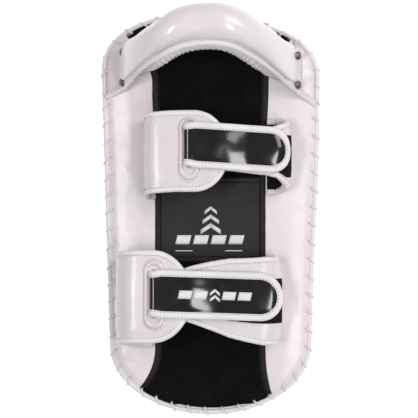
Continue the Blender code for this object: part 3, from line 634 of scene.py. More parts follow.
white_leather = leather("white_leather", WHITE, 0.34, coat=0.20, coat_roughness=0.20)
guard_leather = leather("guard_leather", GUARD_WHITE, 0.36, coat=0.55, coat_roughness=0.10, specular=0.30,
                        mottle=0.03, crease=0.00002)
# Leather for the straps in that darker white: painted shade
strap_leather_painted_shade = leather("strap_leather_painted_shade", STRAP_WHITE_PAINTED_SHADE, 0.33, coat=0.25, coat_roughness=0.16)
tape_leather = leather("tape_leather", TAPE_WHITE, 0.42, grain=0.0006, crease=0.00008)
pleat_leather = leather("pleat_leather", PALE_LINING, 0.5, grain=0.0006, crease=0.00012)
gloss_black = leather("gloss_black", (0.0026, 0.0024, 0.0025, 1.0), 0.22, grain=0.0010, depth=0.000016,
                      coat=0.95, coat_roughness=0.15, specular=0.08, mottle=0.25, coat_ior=1.62)
smooth_black = leather("smooth_black", (0.0210, 0.0180, 0.0185, 1.0), 0.52, grain=0.0007, depth=0.000024,
                       specular=0.22, mottle=0.12)
binding_black = leather("binding_black", (0.0140, 0.0122, 0.0125, 1.0), 0.52, grain=0.0007, depth=0.000024,
                        specular=0.18, mottle=0.12)
velvet_black = velvet("velvet_black", (0.0042, 0.0042, 0.0042))
lining_black = velvet("lining_black", (0.0075, 0.0072, 0.0070), specks=0.05)
# Pale thread made grey: the grey is painted shade of the stitch holes and grooves, over white thread
pale_thread_painted_shade = woven("pale_thread_painted_shade", (0.42, 0.39, 0.39, 1.0), 0.0004)
thread_dark = woven("thread_dark", (0.0035, 0.0033, 0.0033, 1.0), 0.0004, 0.95, 0.05)
thong = woven("thong", (0.80, 0.755, 0.725, 1.0), 0.0007, 0.5)
# Dark brown plugs at the lace holes: painted shade of the holes
hole_painted_shade = woven("hole_painted_shade", (0.16, 0.105, 0.085, 1.0), 0.0005)
patch_black = pile("patch_black", (0.012, 0.012, 0.012))
rivet_metal = worn_metal("rivet_metal", (0.25, 0.215, 0.205))
ink = printed("ink", (0.78, 0.76, 0.78, 1.0))


# ---------------------------------------------------------------- putting pieces in the frame
def keep(item, material, body, slot, *nodes, fill=None):
    """Material, body and the CAD nodes that a finished piece stands for. Slot is not used. Fill is not used.

    Body is a name, or (near, far, start, end) for a piece between two bodies, which stays unattached with
    its transform baked in.
    """
    item.data.materials.clear()
    item.data.materials.append(material)
    if isinstance(body, str):
        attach(item, body)
    if nodes:
        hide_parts(*nodes)
    if not isinstance(body, str):
        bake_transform(item)
    return item


def piece(name, shape, *facts, fill=None):
    """Makes the mesh of a finished piece. The facts are those of keep."""
    return keep(add_shape(name, shape), *facts, fill=fill)


# ---------------------------------------------------------------- the pad's body
COARSE = (60, 40)
UP = Vector((0.0, 0.0, 1.0))
HEAVY_THREAD = {"pitch": 0.0034, "radius": 0.00045}
GUSSET_STEPS = 620
HEAD_SEAM = 0.6225
STRIKE_STEPS = 400
THONG_STEPS = 14
LACE_PHASE = 0.35
HOLE_INSET = 0.0064
BEAD_INSET = 0.0024
BEAD_RADIUS = 0.0022
BEAD_H = 0.0010
PANEL_EDGE = 0.0038


def lace_lean(run):
    """How far a thong leans along the edge over the welt. It turns round at the foot's right corner."""
    share = run / EDGE.length
    turn = smooth_step(0.165, 0.215, share) - smooth_step(0.54, 0.60, share)
    return 0.0058 - 0.0105 * turn


def lace_places():
    """Lengths along the outline at which the thongs start."""
    return [EDGE.length * (k + LACE_PHASE) / STITCHES for k in range(STITCHES)]


def lace_pull(run, shift=0.0):
    """1 at a stitch and 0 between stitches."""
    pitch = EDGE.length / STITCHES
    offset = (run - shift - EDGE.length * LACE_PHASE / STITCHES) % pitch
    offset = min(offset, pitch - offset)
    return math.exp(-(offset / 0.0030) ** 2)


def panel_top(x, y):
    """Height of the white side panels: the crown, pulled down at each lace hole, with soft dents."""
    h = back_height(x, y)
    inset, run = EDGE.nearest(x, y)
    pull = lace_pull(run)
    h -= 0.0008 * pull * hill(inset, HOLE_INSET, 0.0028)
    h += 0.0004 * (1.0 - 0.5 * pull) * hill(inset, 0.0105, 0.0045)
    h -= 0.0003 * smooth_step(0.0066, PANEL_EDGE, inset)
    h += 0.00045 * rough(x, y, 0.0, 0.030, 3.1) + 0.00018 * rough(x, y, 0.0, 0.009, 1.7)
    crease = (x + 0.0985) * 0.94 - (y + 0.0330) * 0.34
    along = (x + 0.0985) * 0.34 + (y + 0.0330) * 0.94
    h -= 0.0007 * math.exp(-(crease / 0.0016) ** 2) * hill(along, 0.0, 0.007)
    return h


def build_side_panels():
    """The two white panels beside the channel."""
    rim = outline(PANEL_EDGE, *COARSE)
    for side, name in SIDES:
        foot, head = strip_tip(side, -1, rim), strip_tip(side, 1, rim)
        middle, half = 0.5 * (foot + head), 0.5 * (head - foot)
        columns = 44
        top = []
        for step in sine_shares(190):
            y = middle + half * step
            inner = strip_edge(side, y) - side * 0.0008
            outer = side_x(y, rim, side)
            xs = [inner + (outer - inner) * (i / columns) ** 0.72 for i in range(columns + 1)]
            top.append([Vector((x, y, RIM + panel_top(x, y))) for x in xs])
        piece(f"side_panel_{name}", slab(top, (0.0, 0.0, 0.0022)), white_leather, "pad", "white_leather",
              f"back_panel_{name}", fill=0.85)


def build_centre():
    """The black channel: suede panels at both ends and a smooth one with turned edges between them."""
    rim = outline(PANEL_EDGE + 0.0003, *COARSE)
    low, high = MIDDLE_PANEL
    tips = [min(abs(strip_tip(side, end, rim)) for side in (-1, 1)) * end for end in (-1, 1)]
    for name, start, stop, end, finish, slot in (
            ("foot", low, tips[0], -1, velvet_black, "black_suede"),
            ("middle", low - 0.0012, high + 0.0012, 0, smooth_black, "black_vinyl"),
            ("head", high, tips[1], 1, velvet_black, "black_suede")):
        rows, columns = 60, 36
        top = []
        for j in range(rows + 1):
            y = start + (stop - start) * j / rows
            left = strip_edge(-1, y) + 0.5 * BINDING
            right = strip_edge(1, y) - 0.5 * BINDING
            top.append([Vector((left + (right - left) * i / columns, y, 0.0)) for i in range(columns + 1)])
        if end:
            tip = top[-1]
            far = [Vector((at.x, end_y(at.x, rim, end), 0.0)) for at in tip]
            for share in (0.34, 0.67, 1.0):
                top.append([near.lerp(at, share) for near, at in zip(tip, far)])
        for row in top:
            for at in row:
                lift = 0.0006 * rough(at.x, at.y, 0.0, 0.028, 5.0)
                if end == 0:
                    fold = min(at.y - start, stop - at.y)
                    lift += 0.0013 * (1.0 - math.exp(-max(fold, 0.0) / 0.0006)) - 0.0004
                    lift -= 0.0006 * hill(fold, 0.0042, 0.0012)
                else:
                    inset, _ = EDGE.nearest(at.x, at.y)
                    lift -= 0.0012 * smooth_step(0.0070, PANEL_EDGE, inset)
                    lift -= 0.0010 * hill(abs(at.y - start), 0.0, 0.0030)
                at.z = RIM + back_height(at.x, at.y) + lift
        piece(f"channel_{name}", slab(top, (0.0, 0.0, 0.0024)), finish, "pad", slot, f"centre_panel_{name}",
              fill=0.85)


def build_centre_bindings():
    """The bound edges of the channel, with their seams and those of the middle panel."""
    rim = outline(PANEL_EDGE + 0.0003, *COARSE)
    profile = ((-0.0006, -0.0010), (-0.0002, 0.0008), (0.0008, 0.0018), (0.0026, 0.0020), (0.0042, 0.0017),
               (0.0049, 0.0012), (0.0056, 0.0014), (0.0064, 0.0006), (0.0066, -0.0010))
    threads = bmesh.new()
    for side, name in SIDES:
        foot, head = strip_tip(side, -1, rim) + 0.0005, strip_tip(side, 1, rim) - 0.0005
        rings, seam = [], []
        for j in range(171):
            y = foot + (head - foot) * j / 170
            edge = strip_edge(side, y)
            wave = 0.0003 * rough(edge, y, 0.0, 0.012, 8.0)
            inset, _ = EDGE.nearest(edge, y)
            sink = 0.0012 * smooth_step(0.0080, PANEL_EDGE, inset)
            rings.append([on_back(edge - side * (across + wave), y, lift - sink)
                          for across, lift in profile])
            seam.append(on_back(edge - side * (0.0049 + wave), y, 0.0012))
        piece(f"channel_binding_{name}", sweep(bmesh.new(), rings), binding_black, "pad", "black_vinyl",
              f"centre_binding_{name}")
        stitch_line(threads, seam, back_normal, **HEAVY_THREAD)
    low, high = MIDDLE_PANEL
    for y in (low + 0.0042, high - 0.0042):
        left, right = strip_edge(-1, y) + 0.008, strip_edge(1, y) - 0.008
        seam = [on_back(x, y, 0.0006) for x in np.linspace(left, right, 60)]
        stitch_line(threads, seam, back_normal, **HEAVY_THREAD)
    piece("channel_stitches", threads, thread_dark, "pad", "black_vinyl")


def line_round(inset, h, count):
    """A closed line round the pad, moved in from the outline."""
    return [EDGE.point(EDGE.length * k / count, inset, h) for k in range(count + 1)]


def build_gusset():
    """The side wall: pleated a little under the lacing, swelling between the welt and the piping."""
    # height from the rim and inset from the outline
    heights = [(-0.0012, 0.0034), (-0.0032, 0.0018), (-0.0052, 0.0012), (-0.0085, 0.0014), (-0.0150, 0.0010),
               (-0.0250, 0.0002), (-0.0360, 0.0000), (-0.0470, 0.0002), (-0.0570, 0.0006), (-0.0640, 0.0012),
               (-0.0685, 0.0020), (-0.0715, 0.0030)]
    rings = []
    for k in range(GUSSET_STEPS):
        run = EDGE.length * k / GUSSET_STEPS
        pull = lace_pull(run, lace_lean(run))
        place, _ = EDGE.at(run)
        row = []
        for h, inset in heights:
            near_top = math.exp((h + 0.004) / 0.012) if h < -0.004 else 1.0
            sink = 0.0009 * pull * near_top - 0.0004 * (1.0 - pull) * near_top
            sink += 0.0007 * rough(place.x, place.y, h, 0.022, 2.0)
            sink += 0.0004 * rough(place.x * 3.0, place.y * 3.0, h, 0.016, 4.0) * near_top
            row.append(EDGE.point(run, inset + sink + 0.0004, h))
        rings.append(row + [EDGE.point(run, inset + 0.0030, h) for h, inset in reversed(heights)])
    piece("gusset", sweep(bmesh.new(), rings, loop=True), white_leather, "pad", "white_leather", "side_wall",
          "foam_core_layer", fill=0.9)
    # one upright joining seam in the middle of the head end, where the gusset's strip meets itself
    seam_run = EDGE.length * HEAD_SEAM
    threads = bmesh.new()
    out = EDGE.out(seam_run)
    rings = [oval(EDGE.point(seam_run, 0.0002, h), UP.cross(out), out, 0.0016, 0.0009, 10)
             for h in np.linspace(-0.006, -0.068, 30)]
    piece("gusset_seam", sweep(bmesh.new(), rings), white_leather, "pad", "white_leather")
    for offset in (-0.0045, 0.0045):
        line = [EDGE.point(seam_run + offset, -0.0002, h) for h in np.linspace(-0.008, -0.066, 40)]
        stitch_line(threads, line, facing(*EDGE.out(seam_run + offset)))
    stitch_line(threads, line_round(0.0006, -0.0662, 900), outward)
    piece("gusset_stitches", threads, pale_thread_painted_shade, "pad", "white_leather")


def outward(place):
    """Outward direction of the outline beside a place."""
    _, run = EDGE.nearest(place.x, place.y)
    return EDGE.out(run)


def build_strike_face():
    """The striking side: a flat leather panel with rolled shoulders, piping and a stitched border."""
    # inset from the outline and height over the floor
    profile = [(0.0032, 0.0128), (0.0036, 0.0108), (0.0050, 0.0075), (0.0078, 0.0042), (0.0120, 0.0018),
               (0.0170, 0.0005), (0.0230, 0.0), (0.0300, 0.0), (0.0312, 0.0007), (0.0324, 0.0),
               (0.0380, 0.0)]
    shape = bmesh.new()

    def ring(inset, z, share=0.0):
        """A loop inset from the outline, then drawn by a share towards the middle line."""
        made = []
        for k in range(STRIKE_STEPS):
            x, y, _ = EDGE.point(EDGE.length * k / STRIKE_STEPS, inset, 0.0)
            lift = 0.0004 * rough(x, y, 0.0, 0.018, 9.0) if 0.0010 < z < 0.0120 else 0.0
            spine = min(max(y, LENGTH_FOOT + 0.030), LENGTH_HEAD - 0.030)
            made.append(shape.verts.new((x * (1.0 - share), y + (spine - y) * share, z + lift)))
        return made

    rows = [ring(inset, z) for inset, z in profile]
    rows += [ring(0.0380, 0.0, share) for share in (0.35, 0.70, 0.92)]
    add_faces(shape, rows, loop_columns=True)
    shape.faces.new(rows[-1])
    inner = [ring(inset + 0.0016, z + 0.0022) for inset, z in profile[::3]] + [ring(0.0380, 0.0022, 0.92)]
    add_faces(shape, [rows[0]] + inner, loop_columns=True)
    shape.faces.new(inner[-1])
    piece("strike_panel", shape, white_leather, "pad", "white_leather", "strike_face", "foam_strike_layer",
          fill=0.95)
    rings = []
    for k in range(STRIKE_STEPS):
        run = EDGE.length * k / STRIKE_STEPS
        place, _ = EDGE.at(run)
        radius = 0.0019 + 0.00012 * rough(place.x, place.y, 0.0, 0.006, 6.0)
        rings.append(oval(EDGE.point(run, 0.0024, 0.0130 - RIM), EDGE.out(run), UP, radius, radius, 12))
    piece("strike_border", sweep(bmesh.new(), rings, loop=True), tape_leather, "pad", "white_leather",
          "strike_piping")
    threads = bmesh.new()
    line = line_round(0.0312, 0.0004 - RIM, 800)
    stitch_line(threads, line, facing(0.0, 0.0, -1.0), length=0.0026, pitch=0.0042, radius=0.00030)
    piece("strike_stitches", threads, pale_thread_painted_shade, "pad", "white_leather")


def build_laced_edge():
    """The two welts of the rim and the thongs that cross them, each from hole to hole."""
    steps = STITCHES * THONG_STEPS
    for name, inset, radius, h, nodes in (
            ("welt", BEAD_INSET, BEAD_RADIUS, BEAD_H, ("edge_welt", "foam_back_layer")),
            ("welt_lower", 0.0013, 0.0015, -0.0022, ())):
        rings = []
        for k in range(steps):
            run = EDGE.length * k / steps
            pull = lace_pull(run, 0.5 * lace_lean(run))
            place, _ = EDGE.at(run)
            swell = 0.00018 * rough(place.x, place.y, h * 50.0, 0.011, 5.5)
            size = radius * (1.05 - 0.15 * pull) + swell
            rings.append(oval(EDGE.point(run, inset + 0.0002 * pull, h), EDGE.out(run), UP, size, size, 14))
        piece(name, sweep(bmesh.new(), rings, loop=True), tape_leather, "pad", "white_binding", *nodes,
              fill=0.8)
    thongs, holes = bmesh.new(), bmesh.new()
    # share of the lean, inset, height
    route = ((0.00, 0.0070, 0.0006), (0.02, 0.0065, 0.0024), (0.10, 0.0054, 0.0035),
             (0.35, 0.0034, 0.0038), (0.62, 0.0013, 0.0032), (0.84, 0.0000, 0.0015),
             (0.95, -0.0005, -0.0010), (1.00, -0.0002, -0.0036), (1.00, 0.0014, -0.0054))
    for number, run in enumerate(lace_places()):
        lean = lace_lean(run) * (1.0 + 0.25 * math.sin(5.1 * number))
        wide = 0.00115 + 0.00012 * math.sin(3.7 * number)
        points = [EDGE.point(run + lean * share, inset + 0.0002 * math.sin(2.3 * number), h)
                  for share, inset, h in route]
        fine = smooth_curve(points, 3)
        core = EDGE.point(run + 0.5 * lean, BEAD_INSET, -0.0004)
        rings = []
        for here, along in zip(fine, directions(fine)):
            away = here - core
            away = (away - along * away.dot(along)).normalized()
            rings.append(oval(here, along.cross(away).normalized(), away, wide, 0.00055, 8))
        sweep(thongs, rings)
        out = EDGE.out(run)
        flat = UP.cross(out)
        above = EDGE.point(run, 0.0071, 0.0)
        above.z += panel_top(above.x, above.y)
        # A dark plug at each hole, on the panel and on the side wall: painted shade of the hole
        for place, axis in ((above, UP), (EDGE.point(run + lean, 0.0006, -0.0056), out)):
            sweep(holes, [oval(place + axis * lift, flat, axis.cross(flat), size, size, 8)
                          for size, lift in ((0.0009, -0.0012), (0.0009, 0.0000), (0.0006, 0.0002))])
    piece("lacing", thongs, thong, "pad", "lace", "edge_lace")
    piece("lace_holes", holes, hole_painted_shade, "pad", "lace")


# ---------------------------------------------------------------- hand guard
def guard_line(t):
    """X, height and normal of the arch. Its crest stands a little to the left."""
    x = GUARD_SPAN * t - 0.5 * GUARD_LEFT * (1.0 - t)
    s = t + GUARD_LEAN * (1.0 - t * t) if abs(t) < 1.0 else t
    h = GUARD_BASE_H + GUARD_RISE * (1.0 - abs(s) ** GUARD_POWER)
    slope = GUARD_RISE * GUARD_POWER * abs(s) ** (GUARD_POWER - 1.0) / GUARD_SPAN
    return x, h, Vector((math.copysign(slope, s), 1.0)).normalized()


def guard_middle(x):
    """Y of the roll's middle: swept back towards its ends, and a little lower on the right."""
    return GUARD_MID_Y - GUARD_SWEEP * x * x - 0.0024 * smooth_step(0.005, 0.045, x)


def guard_wider(x):
    """How much wider the roll is towards its foot side, beside its crest."""
    return 0.0018 * smooth_step(0.020, 0.050, abs(x)) + 0.0022 * smooth_step(0.040, 0.070, x)


def guard_point(t, angle, grow=0.0):
    """Point of the roll. Angle 0 faces the forearm and 90 degrees faces up and out."""
    x, h, normal = guard_line(t)
    power = 2.0 / (2.0 + 2.6 * smooth_step(0.60, 0.97, abs(t)))
    reach = (GUARD_HALF_Z + grow) * signed_power(math.sin(angle), power)
    x += normal.x * reach
    z = RIM + h + normal.y * reach
    away = signed_power(math.cos(angle), power)
    if away > 0.0:
        half = GUARD_HALF_Y + guard_wider(x)
    else:
        half = GUARD_HALF_Y + 0.0042 * smooth_step(0.070, 0.084, abs(x))
        half -= 0.0038 * hill(x, -0.062, 0.020) + 0.0028 * hill(x, 0.068, 0.018)
    return Vector((x, guard_middle(x) - (half + grow) * away, z))


def guard_cushion_rings(count, around, grow):
    """The roll's skin, a little smaller than it ends up and with a shallow furrow by the binding."""
    rings = []
    for share in sine_shares(count):
        t = 1.03 * share
        ring = []
        for i in range(around):
            degrees = -18.0 + 360.0 * i / around
            angle = math.radians(degrees)
            at = guard_point(t, angle)
            lift = grow + 0.0002 * rough(at.x, at.y, at.z, 0.030, 1.0)
            lift -= 0.0003 * hill((degrees - 3.0 + 180.0) % 360.0 - 180.0, 0.0, 6.0)
            ring.append(guard_point(t, angle, lift))
        rings.append(ring)
    return rings


CUSHION_RINGS = 110
CUSHION_AROUND = 56
CUSHION_SHRINK = -0.0006
CUSHION_PRESSURE = 3.0
CUSHION_SWELL = 0.0012
CLOTH_FRAMES = 16


def inflate(item, held, pressure, cap):
    """Blows a closed leather skin up a little with the cloth solver. Held picks the vertices that stay."""
    mesh = item.data
    rest = [vertex.co.copy() for vertex in mesh.vertices]
    group = item.vertex_groups.new(name="held")
    group.add([i for i, co in enumerate(rest) if held(co)], 1.0, "REPLACE")
    modifier = item.modifiers.new("inflate", "CLOTH")
    cloth = modifier.settings
    cloth.quality = 5
    cloth.mass = 0.4
    cloth.tension_stiffness = 25.0
    cloth.compression_stiffness = 25.0
    cloth.bending_stiffness = 2.0
    cloth.shrink_min = -0.02
    cloth.use_pressure = True
    cloth.uniform_pressure_force = pressure
    cloth.vertex_group_mass = "held"
    cloth.effector_weights.gravity = 0.0
    modifier.collision_settings.use_collision = False
    modifier.point_cache.frame_start = 1
    modifier.point_cache.frame_end = CLOTH_FRAMES
    scene = bpy.context.scene
    for number in range(1, CLOTH_FRAMES + 1):
        scene.frame_set(number)
    moved = item.evaluated_get(bpy.context.evaluated_depsgraph_get()).to_mesh()
    places = [vertex.co.copy() for vertex in moved.vertices]
    item.modifiers.clear()
    item.vertex_groups.clear()
    scene.frame_set(1)
    for vertex, start, end in zip(mesh.vertices, rest, places):
        step = end - start
        vertex.co = start + (step if step.length <= cap else step.normalized() * cap)
    mesh.update()
    soften = item.modifiers.new("soften", "SMOOTH")
    soften.factor = 0.5
    soften.iterations = 8
    apply_modifiers(item)


def build_guard():
    """The padded roll over the hand, with everything sewn or riveted to it."""
    rings = guard_cushion_rings(CUSHION_RINGS, CUSHION_AROUND, CUSHION_SHRINK)
    cushion = add_shape("guard_cushion", sweep(bmesh.new(), rings))
    low_x, high_x = (guard_point(t, 0.0).x for t in (-0.93, 0.93))
    inflate(cushion, lambda co: not low_x < co.x < high_x, CUSHION_PRESSURE, CUSHION_SWELL)
    keep(cushion, guard_leather, "pad", "white_leather", "guard_cover", "guard_roll", fill=0.8)
    build_guard_lining()
    build_guard_tabs()
    build_guard_binding()
    build_rivets()


def guard_offset(t, y_off, z_off):
    """A point of the guard given by its offsets along Y and along the arch's normal."""
    x, h, normal = guard_line(t)
    x += normal.x * z_off
    y = guard_middle(x) + y_off
    if y_off < 0.0:
        y -= guard_wider(x)
    return Vector((x, y, RIM + h + normal.y * z_off))


def build_guard_lining():
    """Gathered lining: a pleated lip that shows past the binding, then the roll's underside."""
    # offsets along Y and along the arch's normal, share of the extra reach, share of the pleats
    lip = ((-0.0184, 0.0012, 0.0, 0.0), (-0.0214, -0.0012, 0.3, 0.6), (-0.0238, -0.0048, 0.8, 1.0),
           (-0.0246, -0.0090, 1.0, 1.0), (-0.0228, -0.0126, 0.8, 0.9), (-0.0180, -0.0152, 0.3, 0.7),
           (-0.0110, -0.0160, 0.0, 0.5), (-0.0030, -0.0162, 0.0, 0.4), (0.0050, -0.0158, 0.0, 0.4),
           (0.0120, -0.0132, 0.0, 0.3), (0.0160, -0.0090, 0.0, 0.0))
    count = 900
    top, bottom = [], []
    for k, station in enumerate(sine_shares(count)):
        t = 0.975 * station
        x, _, _ = guard_line(t)
        sides = hill(x, -0.0500, 0.022) + hill(x, 0.0480, 0.026)
        extra = 0.0026 * sides + 0.0004 - 0.0030 * smooth_step(0.060, 0.071, abs(x))
        row, under = [], []
        for number, (y_off, z_off, reach, share) in enumerate(lip):
            run = 46.0 * k / count + 0.9 * rough(k * 0.012, 0.0, 0.0, 1.0, 4.0)
            run += 0.10 * number * (1.0 if x > 0.0 else -1.0)
            saw = run - math.floor(run)
            fold = (saw / 0.72 if saw < 0.72 else (1.0 - saw) / 0.28) - 0.5
            size = 0.0034 * share * (0.20 + 0.80 * sides)
            size *= 0.8 + 0.6 * rough(k * 0.02, number * 0.3, 0.0, 1.0, 9.0)
            out = 1.0 + fold * size / math.hypot(y_off, z_off)
            y, z = y_off * out - extra * reach, z_off * out
            row.append(guard_offset(t, y, z))
            under.append(guard_offset(t, y * 0.94, z * 0.94))
        top.append(row)
        bottom.append(under)
    piece("guard_gather", solid(bmesh.new(), top, bottom), pleat_leather, "pad", "white_binding",
          "guard_lining", fill=0.4)


def tab_corner(side):
    """Plan places of the tab's lower edge, by the roll and at the rim."""
    if side < 0:
        return (-0.0855, 0.1240), (-0.1040, 0.1150)
    return (0.0848, 0.1216), (0.1052, 0.1081)


TAB_TOP_ROLL = 0.1650
TAB_TOP_RIM = 0.1600
# distance from the middle line and lift over the panel
TAB_PROFILE = ((0.0850, 0.0120), (0.0857, 0.0106), (0.0864, 0.0088), (0.0872, 0.0068), (0.0882, 0.0050),
               (0.0896, 0.0036), (0.0912, 0.0027), (0.0930, 0.0021), (0.0948, 0.0018), (0.0966, 0.0016))


def tab_grid(side):
    """Plan places and lifts over the panel of a tab, which fans out from the roll's end to the rim."""
    rim = outline(PANEL_EDGE + 0.0006, *COARSE)
    (_, inner_y), (_, outer_y) = tab_corner(side)
    first_x, last_x = TAB_PROFILE[0][0], TAB_PROFILE[-1][0]
    top = []
    for j in range(41):
        y_roll = inner_y + (TAB_TOP_ROLL - inner_y) * j / 40
        y_rim = outer_y + (TAB_TOP_RIM - outer_y) * j / 40
        x_rim = abs(side_x(y_rim, rim, side))
        row = []
        for x, lift in TAB_PROFILE:
            share = (x - first_x) / max(x_rim - first_x, 0.004)
            row.append((side * x, y_roll + (y_rim - y_roll) * min(share, 1.0), lift))
        for k in range(1, 5):
            if x_rim > last_x + 0.0008:
                x = last_x + (x_rim - last_x) * k / 4
                y = y_roll + (y_rim - y_roll) * (x - first_x) / (x_rim - first_x)
                row.append((side * x, y, 0.0014 - 0.0008 * (k / 4) ** 3))
            else:
                row.append((side * (last_x + 0.0001 * k), row[-1][1], row[-1][2] - 0.0004))
        top.append(row)
    return top


def build_guard_tabs():
    """The two ends of the guard that are sewn down on the back."""
    threads = bmesh.new()
    for side, name in SIDES:
        top = [[Vector((x, y, RIM + panel_top(x, y) + 0.0004 * rough(x, y, 0.0, 0.010, 7.0) + lift))
                for x, y, lift in row] for row in tab_grid(side)]
        piece(f"guard_end_{name}", slab(top, (side * 0.0013, 0.0, 0.0014)), white_leather, "pad",
              "white_leather", f"guard_tab_{name}")
        line = [row[5].lerp(row[6], 0.6) + UP * 0.0002 for row in top[4:33]]
        stitch_line(threads, line, facing(side * 0.35, 0.0, 1.0))
    piece("guard_end_stitches", threads, pale_thread_painted_shade, "pad", "white_leather")


def guard_binding_route():
    """From the rim up one tab's edge, over the arch and down to the other rim."""
    arch = [guard_point(0.930 * share, math.radians(5.0), 0.0012) for share in sine_shares(64)]
    left, right = [], []
    for side, made in ((-1, left), (1, right)):
        (inner_x, inner_y), (outer_x, outer_y) = tab_corner(side)
        for share in (0.0, 0.25, 0.5, 0.75, 1.0):
            x = outer_x + (inner_x - outer_x) * share
            y = outer_y + (inner_y - outer_y) * share
            made.append(Vector((x, y + 0.0004, RIM + back_height(x, y) + 0.0020 + 0.0080 * share ** 3)))
    return smooth_curve(left + arch + right[::-1], 3)


def build_guard_binding():
    """The bound edge between the roll and its gathered lining."""
    route = guard_binding_route()
    threads = bmesh.new()
    rings, seam = [], []
    for here, along in zip(route, directions(route)):
        up = Vector((0.0, -0.45, 1.0))
        up = (up - along * up.dot(along)).normalized()
        across = along.cross(up).normalized()
        wave = 1.0 + 0.05 * rough(here.x, here.y, here.z, 0.006, 3.0)
        rings.append(oval(here, across, up, 0.0033 * wave, 0.0018 * wave, 16))
        seam.append(here - across * 0.0022 + up * 0.0013)
    piece("guard_edge_binding", sweep(bmesh.new(), rings), tape_leather, "pad", "white_binding",
          "guard_binding")
    stitch_line(threads, seam, facing(0.0, 0.1, 1.0))
    piece("guard_binding_stitches", threads, pale_thread_painted_shade, "pad", "white_binding")


def dome(place, axis, radius, height):
    """A domed rivet cap with a rolled rim, standing on its base along the axis."""
    side = axis.orthogonal().normalized()
    other = axis.cross(side)
    # share of the radius and of the height
    profile = ((0.90, -0.25), (1.0, 0.05), (1.02, 0.22), (0.93, 0.40), (0.84, 0.46), (0.78, 0.62),
               (0.55, 0.86), (0.28, 0.98), (0.06, 1.0))
    rings = [oval(place + axis * height * lift, side, other, radius * wide, radius * wide, 24)
             for wide, lift in profile]
    return sweep(bmesh.new(), rings)


RIVET_PLACES = (("left", -1, 0.1292, 0.1585), ("right", 1, 0.1265, 0.1555))


def build_rivets():
    """Two big caps at each end of the guard and a small one on each strap of the grip."""
    for name, side, foot_y, head_y in RIVET_PLACES:
        axis = Vector((side * 0.80, -0.05, 0.60)).normalized()
        for end, y in (("foot", foot_y), ("head", head_y)):
            cap = dome(Vector((side * 0.0868, y, RIM + 0.0195)), axis, 0.0044, 0.0024)
            piece(f"rivet_{name}_{end}", cap, rivet_metal, "pad", "rivet_steel", f"guard_rivet_{name}_{end}")
        cap = dome(Vector((side * 0.0545, GRIP_Y, RIM + 0.0104)), UP, 0.0025, 0.0016)
        piece(f"rivet_{name}_grip", cap, rivet_metal, "pad", "rivet_steel", f"handle_rivet_{name}")


# ---------------------------------------------------------------- grip
def build_handle():
    """The grip wrapped with leather tape, and the strap that holds each of its ends down."""
    rings = []
    count = 150
    for i in range(count + 1):
        u = 2.0 * i / count - 1.0
        x = GRIP_HALF * u
        base = Vector((x, GRIP_Y, RIM + GRIP_H - 0.0012 * u * u))
        ring = []
        for j in range(28):
            a = 2.0 * math.pi * j / 28
            wrap = (x / 0.0135 + a / (2.0 * math.pi)) % 1.0
            groove = -0.0009 * math.exp(-((wrap - 0.5) / 0.07) ** 2) + 0.0004 * math.sin(math.pi * wrap)
            radius = GRIP_RADIUS + groove - 0.0016 * smooth_step(0.95, 1.0, abs(u))
            ring.append(base + Vector((0.0, math.cos(a) * radius, math.sin(a) * radius)))
        rings.append(ring)
    piece("grip", sweep(bmesh.new(), rings), tape_leather, "pad", "white_leather", "handle_grip", fill=0.8)
    threads = bmesh.new()
    for side, name in SIDES:
        profile = [Vector((side * x, 0.0, RIM + h)) for x, h in
                   ((0.0372, 0.0300), (0.0405, 0.0282), (0.0434, 0.0250), (0.0470, 0.0178), (0.0492, 0.0116),
                    (0.0515, 0.0086), (0.0580, 0.0084))]
        fine = smooth_curve(profile, 5)
        top, bottom = [], []
        for here, along in zip(fine, directions(fine)):
            normal = Vector((-along.z * side, 0.0, along.x * side)).normalized()
            row, under = [], []
            for j in range(13):
                v = 2.0 * j / 12 - 1.0
                edge = 1.0 - abs(v) ** 6
                place = Vector((here.x, GRIP_Y + 0.0092 * v, here.z))
                row.append(place + normal * (0.0006 + 0.0011 * edge))
                under.append(place - normal * (0.0006 + 0.0007 * edge))
            top.append(row)
            bottom.append(under)
        piece(f"grip_strap_{name}", solid(bmesh.new(), top, bottom), strap_leather_painted_shade, "pad", "white_leather",
              f"handle_strap_{name}")
        for column in (1, 11):
            stitch_line(threads, [row[column] for row in top], facing(side * 0.8, 0.0, 0.6))
    piece("grip_stitches", threads, pale_thread_painted_shade, "pad", "white_leather")


# ---------------------------------------------------------------- arm straps
class StrapPath:
    """A smooth path in the XZ plane, read by distance from its first point."""

    def __init__(self, points, steps=10):
        self.points = smooth_curve([Vector((x, RIM + h)) for x, h in points], steps)
        self.lengths = run_lengths(self.points)
        self.length = self.lengths[-1]
        self.normals = [Vector((-along.y, along.x)) for along in directions(self.points)]

    def at(self, distance):
        """Place and left-hand normal at a distance along the path."""
        distance = min(max(distance, 0.0), self.length)
        index = int(np.searchsorted(self.lengths, distance, side="right")) - 1
        index = min(max(index, 0), len(self.points) - 2)
        share = (distance - self.lengths[index]) / (self.lengths[index + 1] - self.lengths[index])
        return (self.points[index].lerp(self.points[index + 1], share),
                self.normals[index].lerp(self.normals[index + 1], share).normalized())

    def distance_at(self, test):
        """The first distance whose point passes the test."""
        for place, distance in zip(self.points, self.lengths):
            if test(place):
                return distance
        return self.length


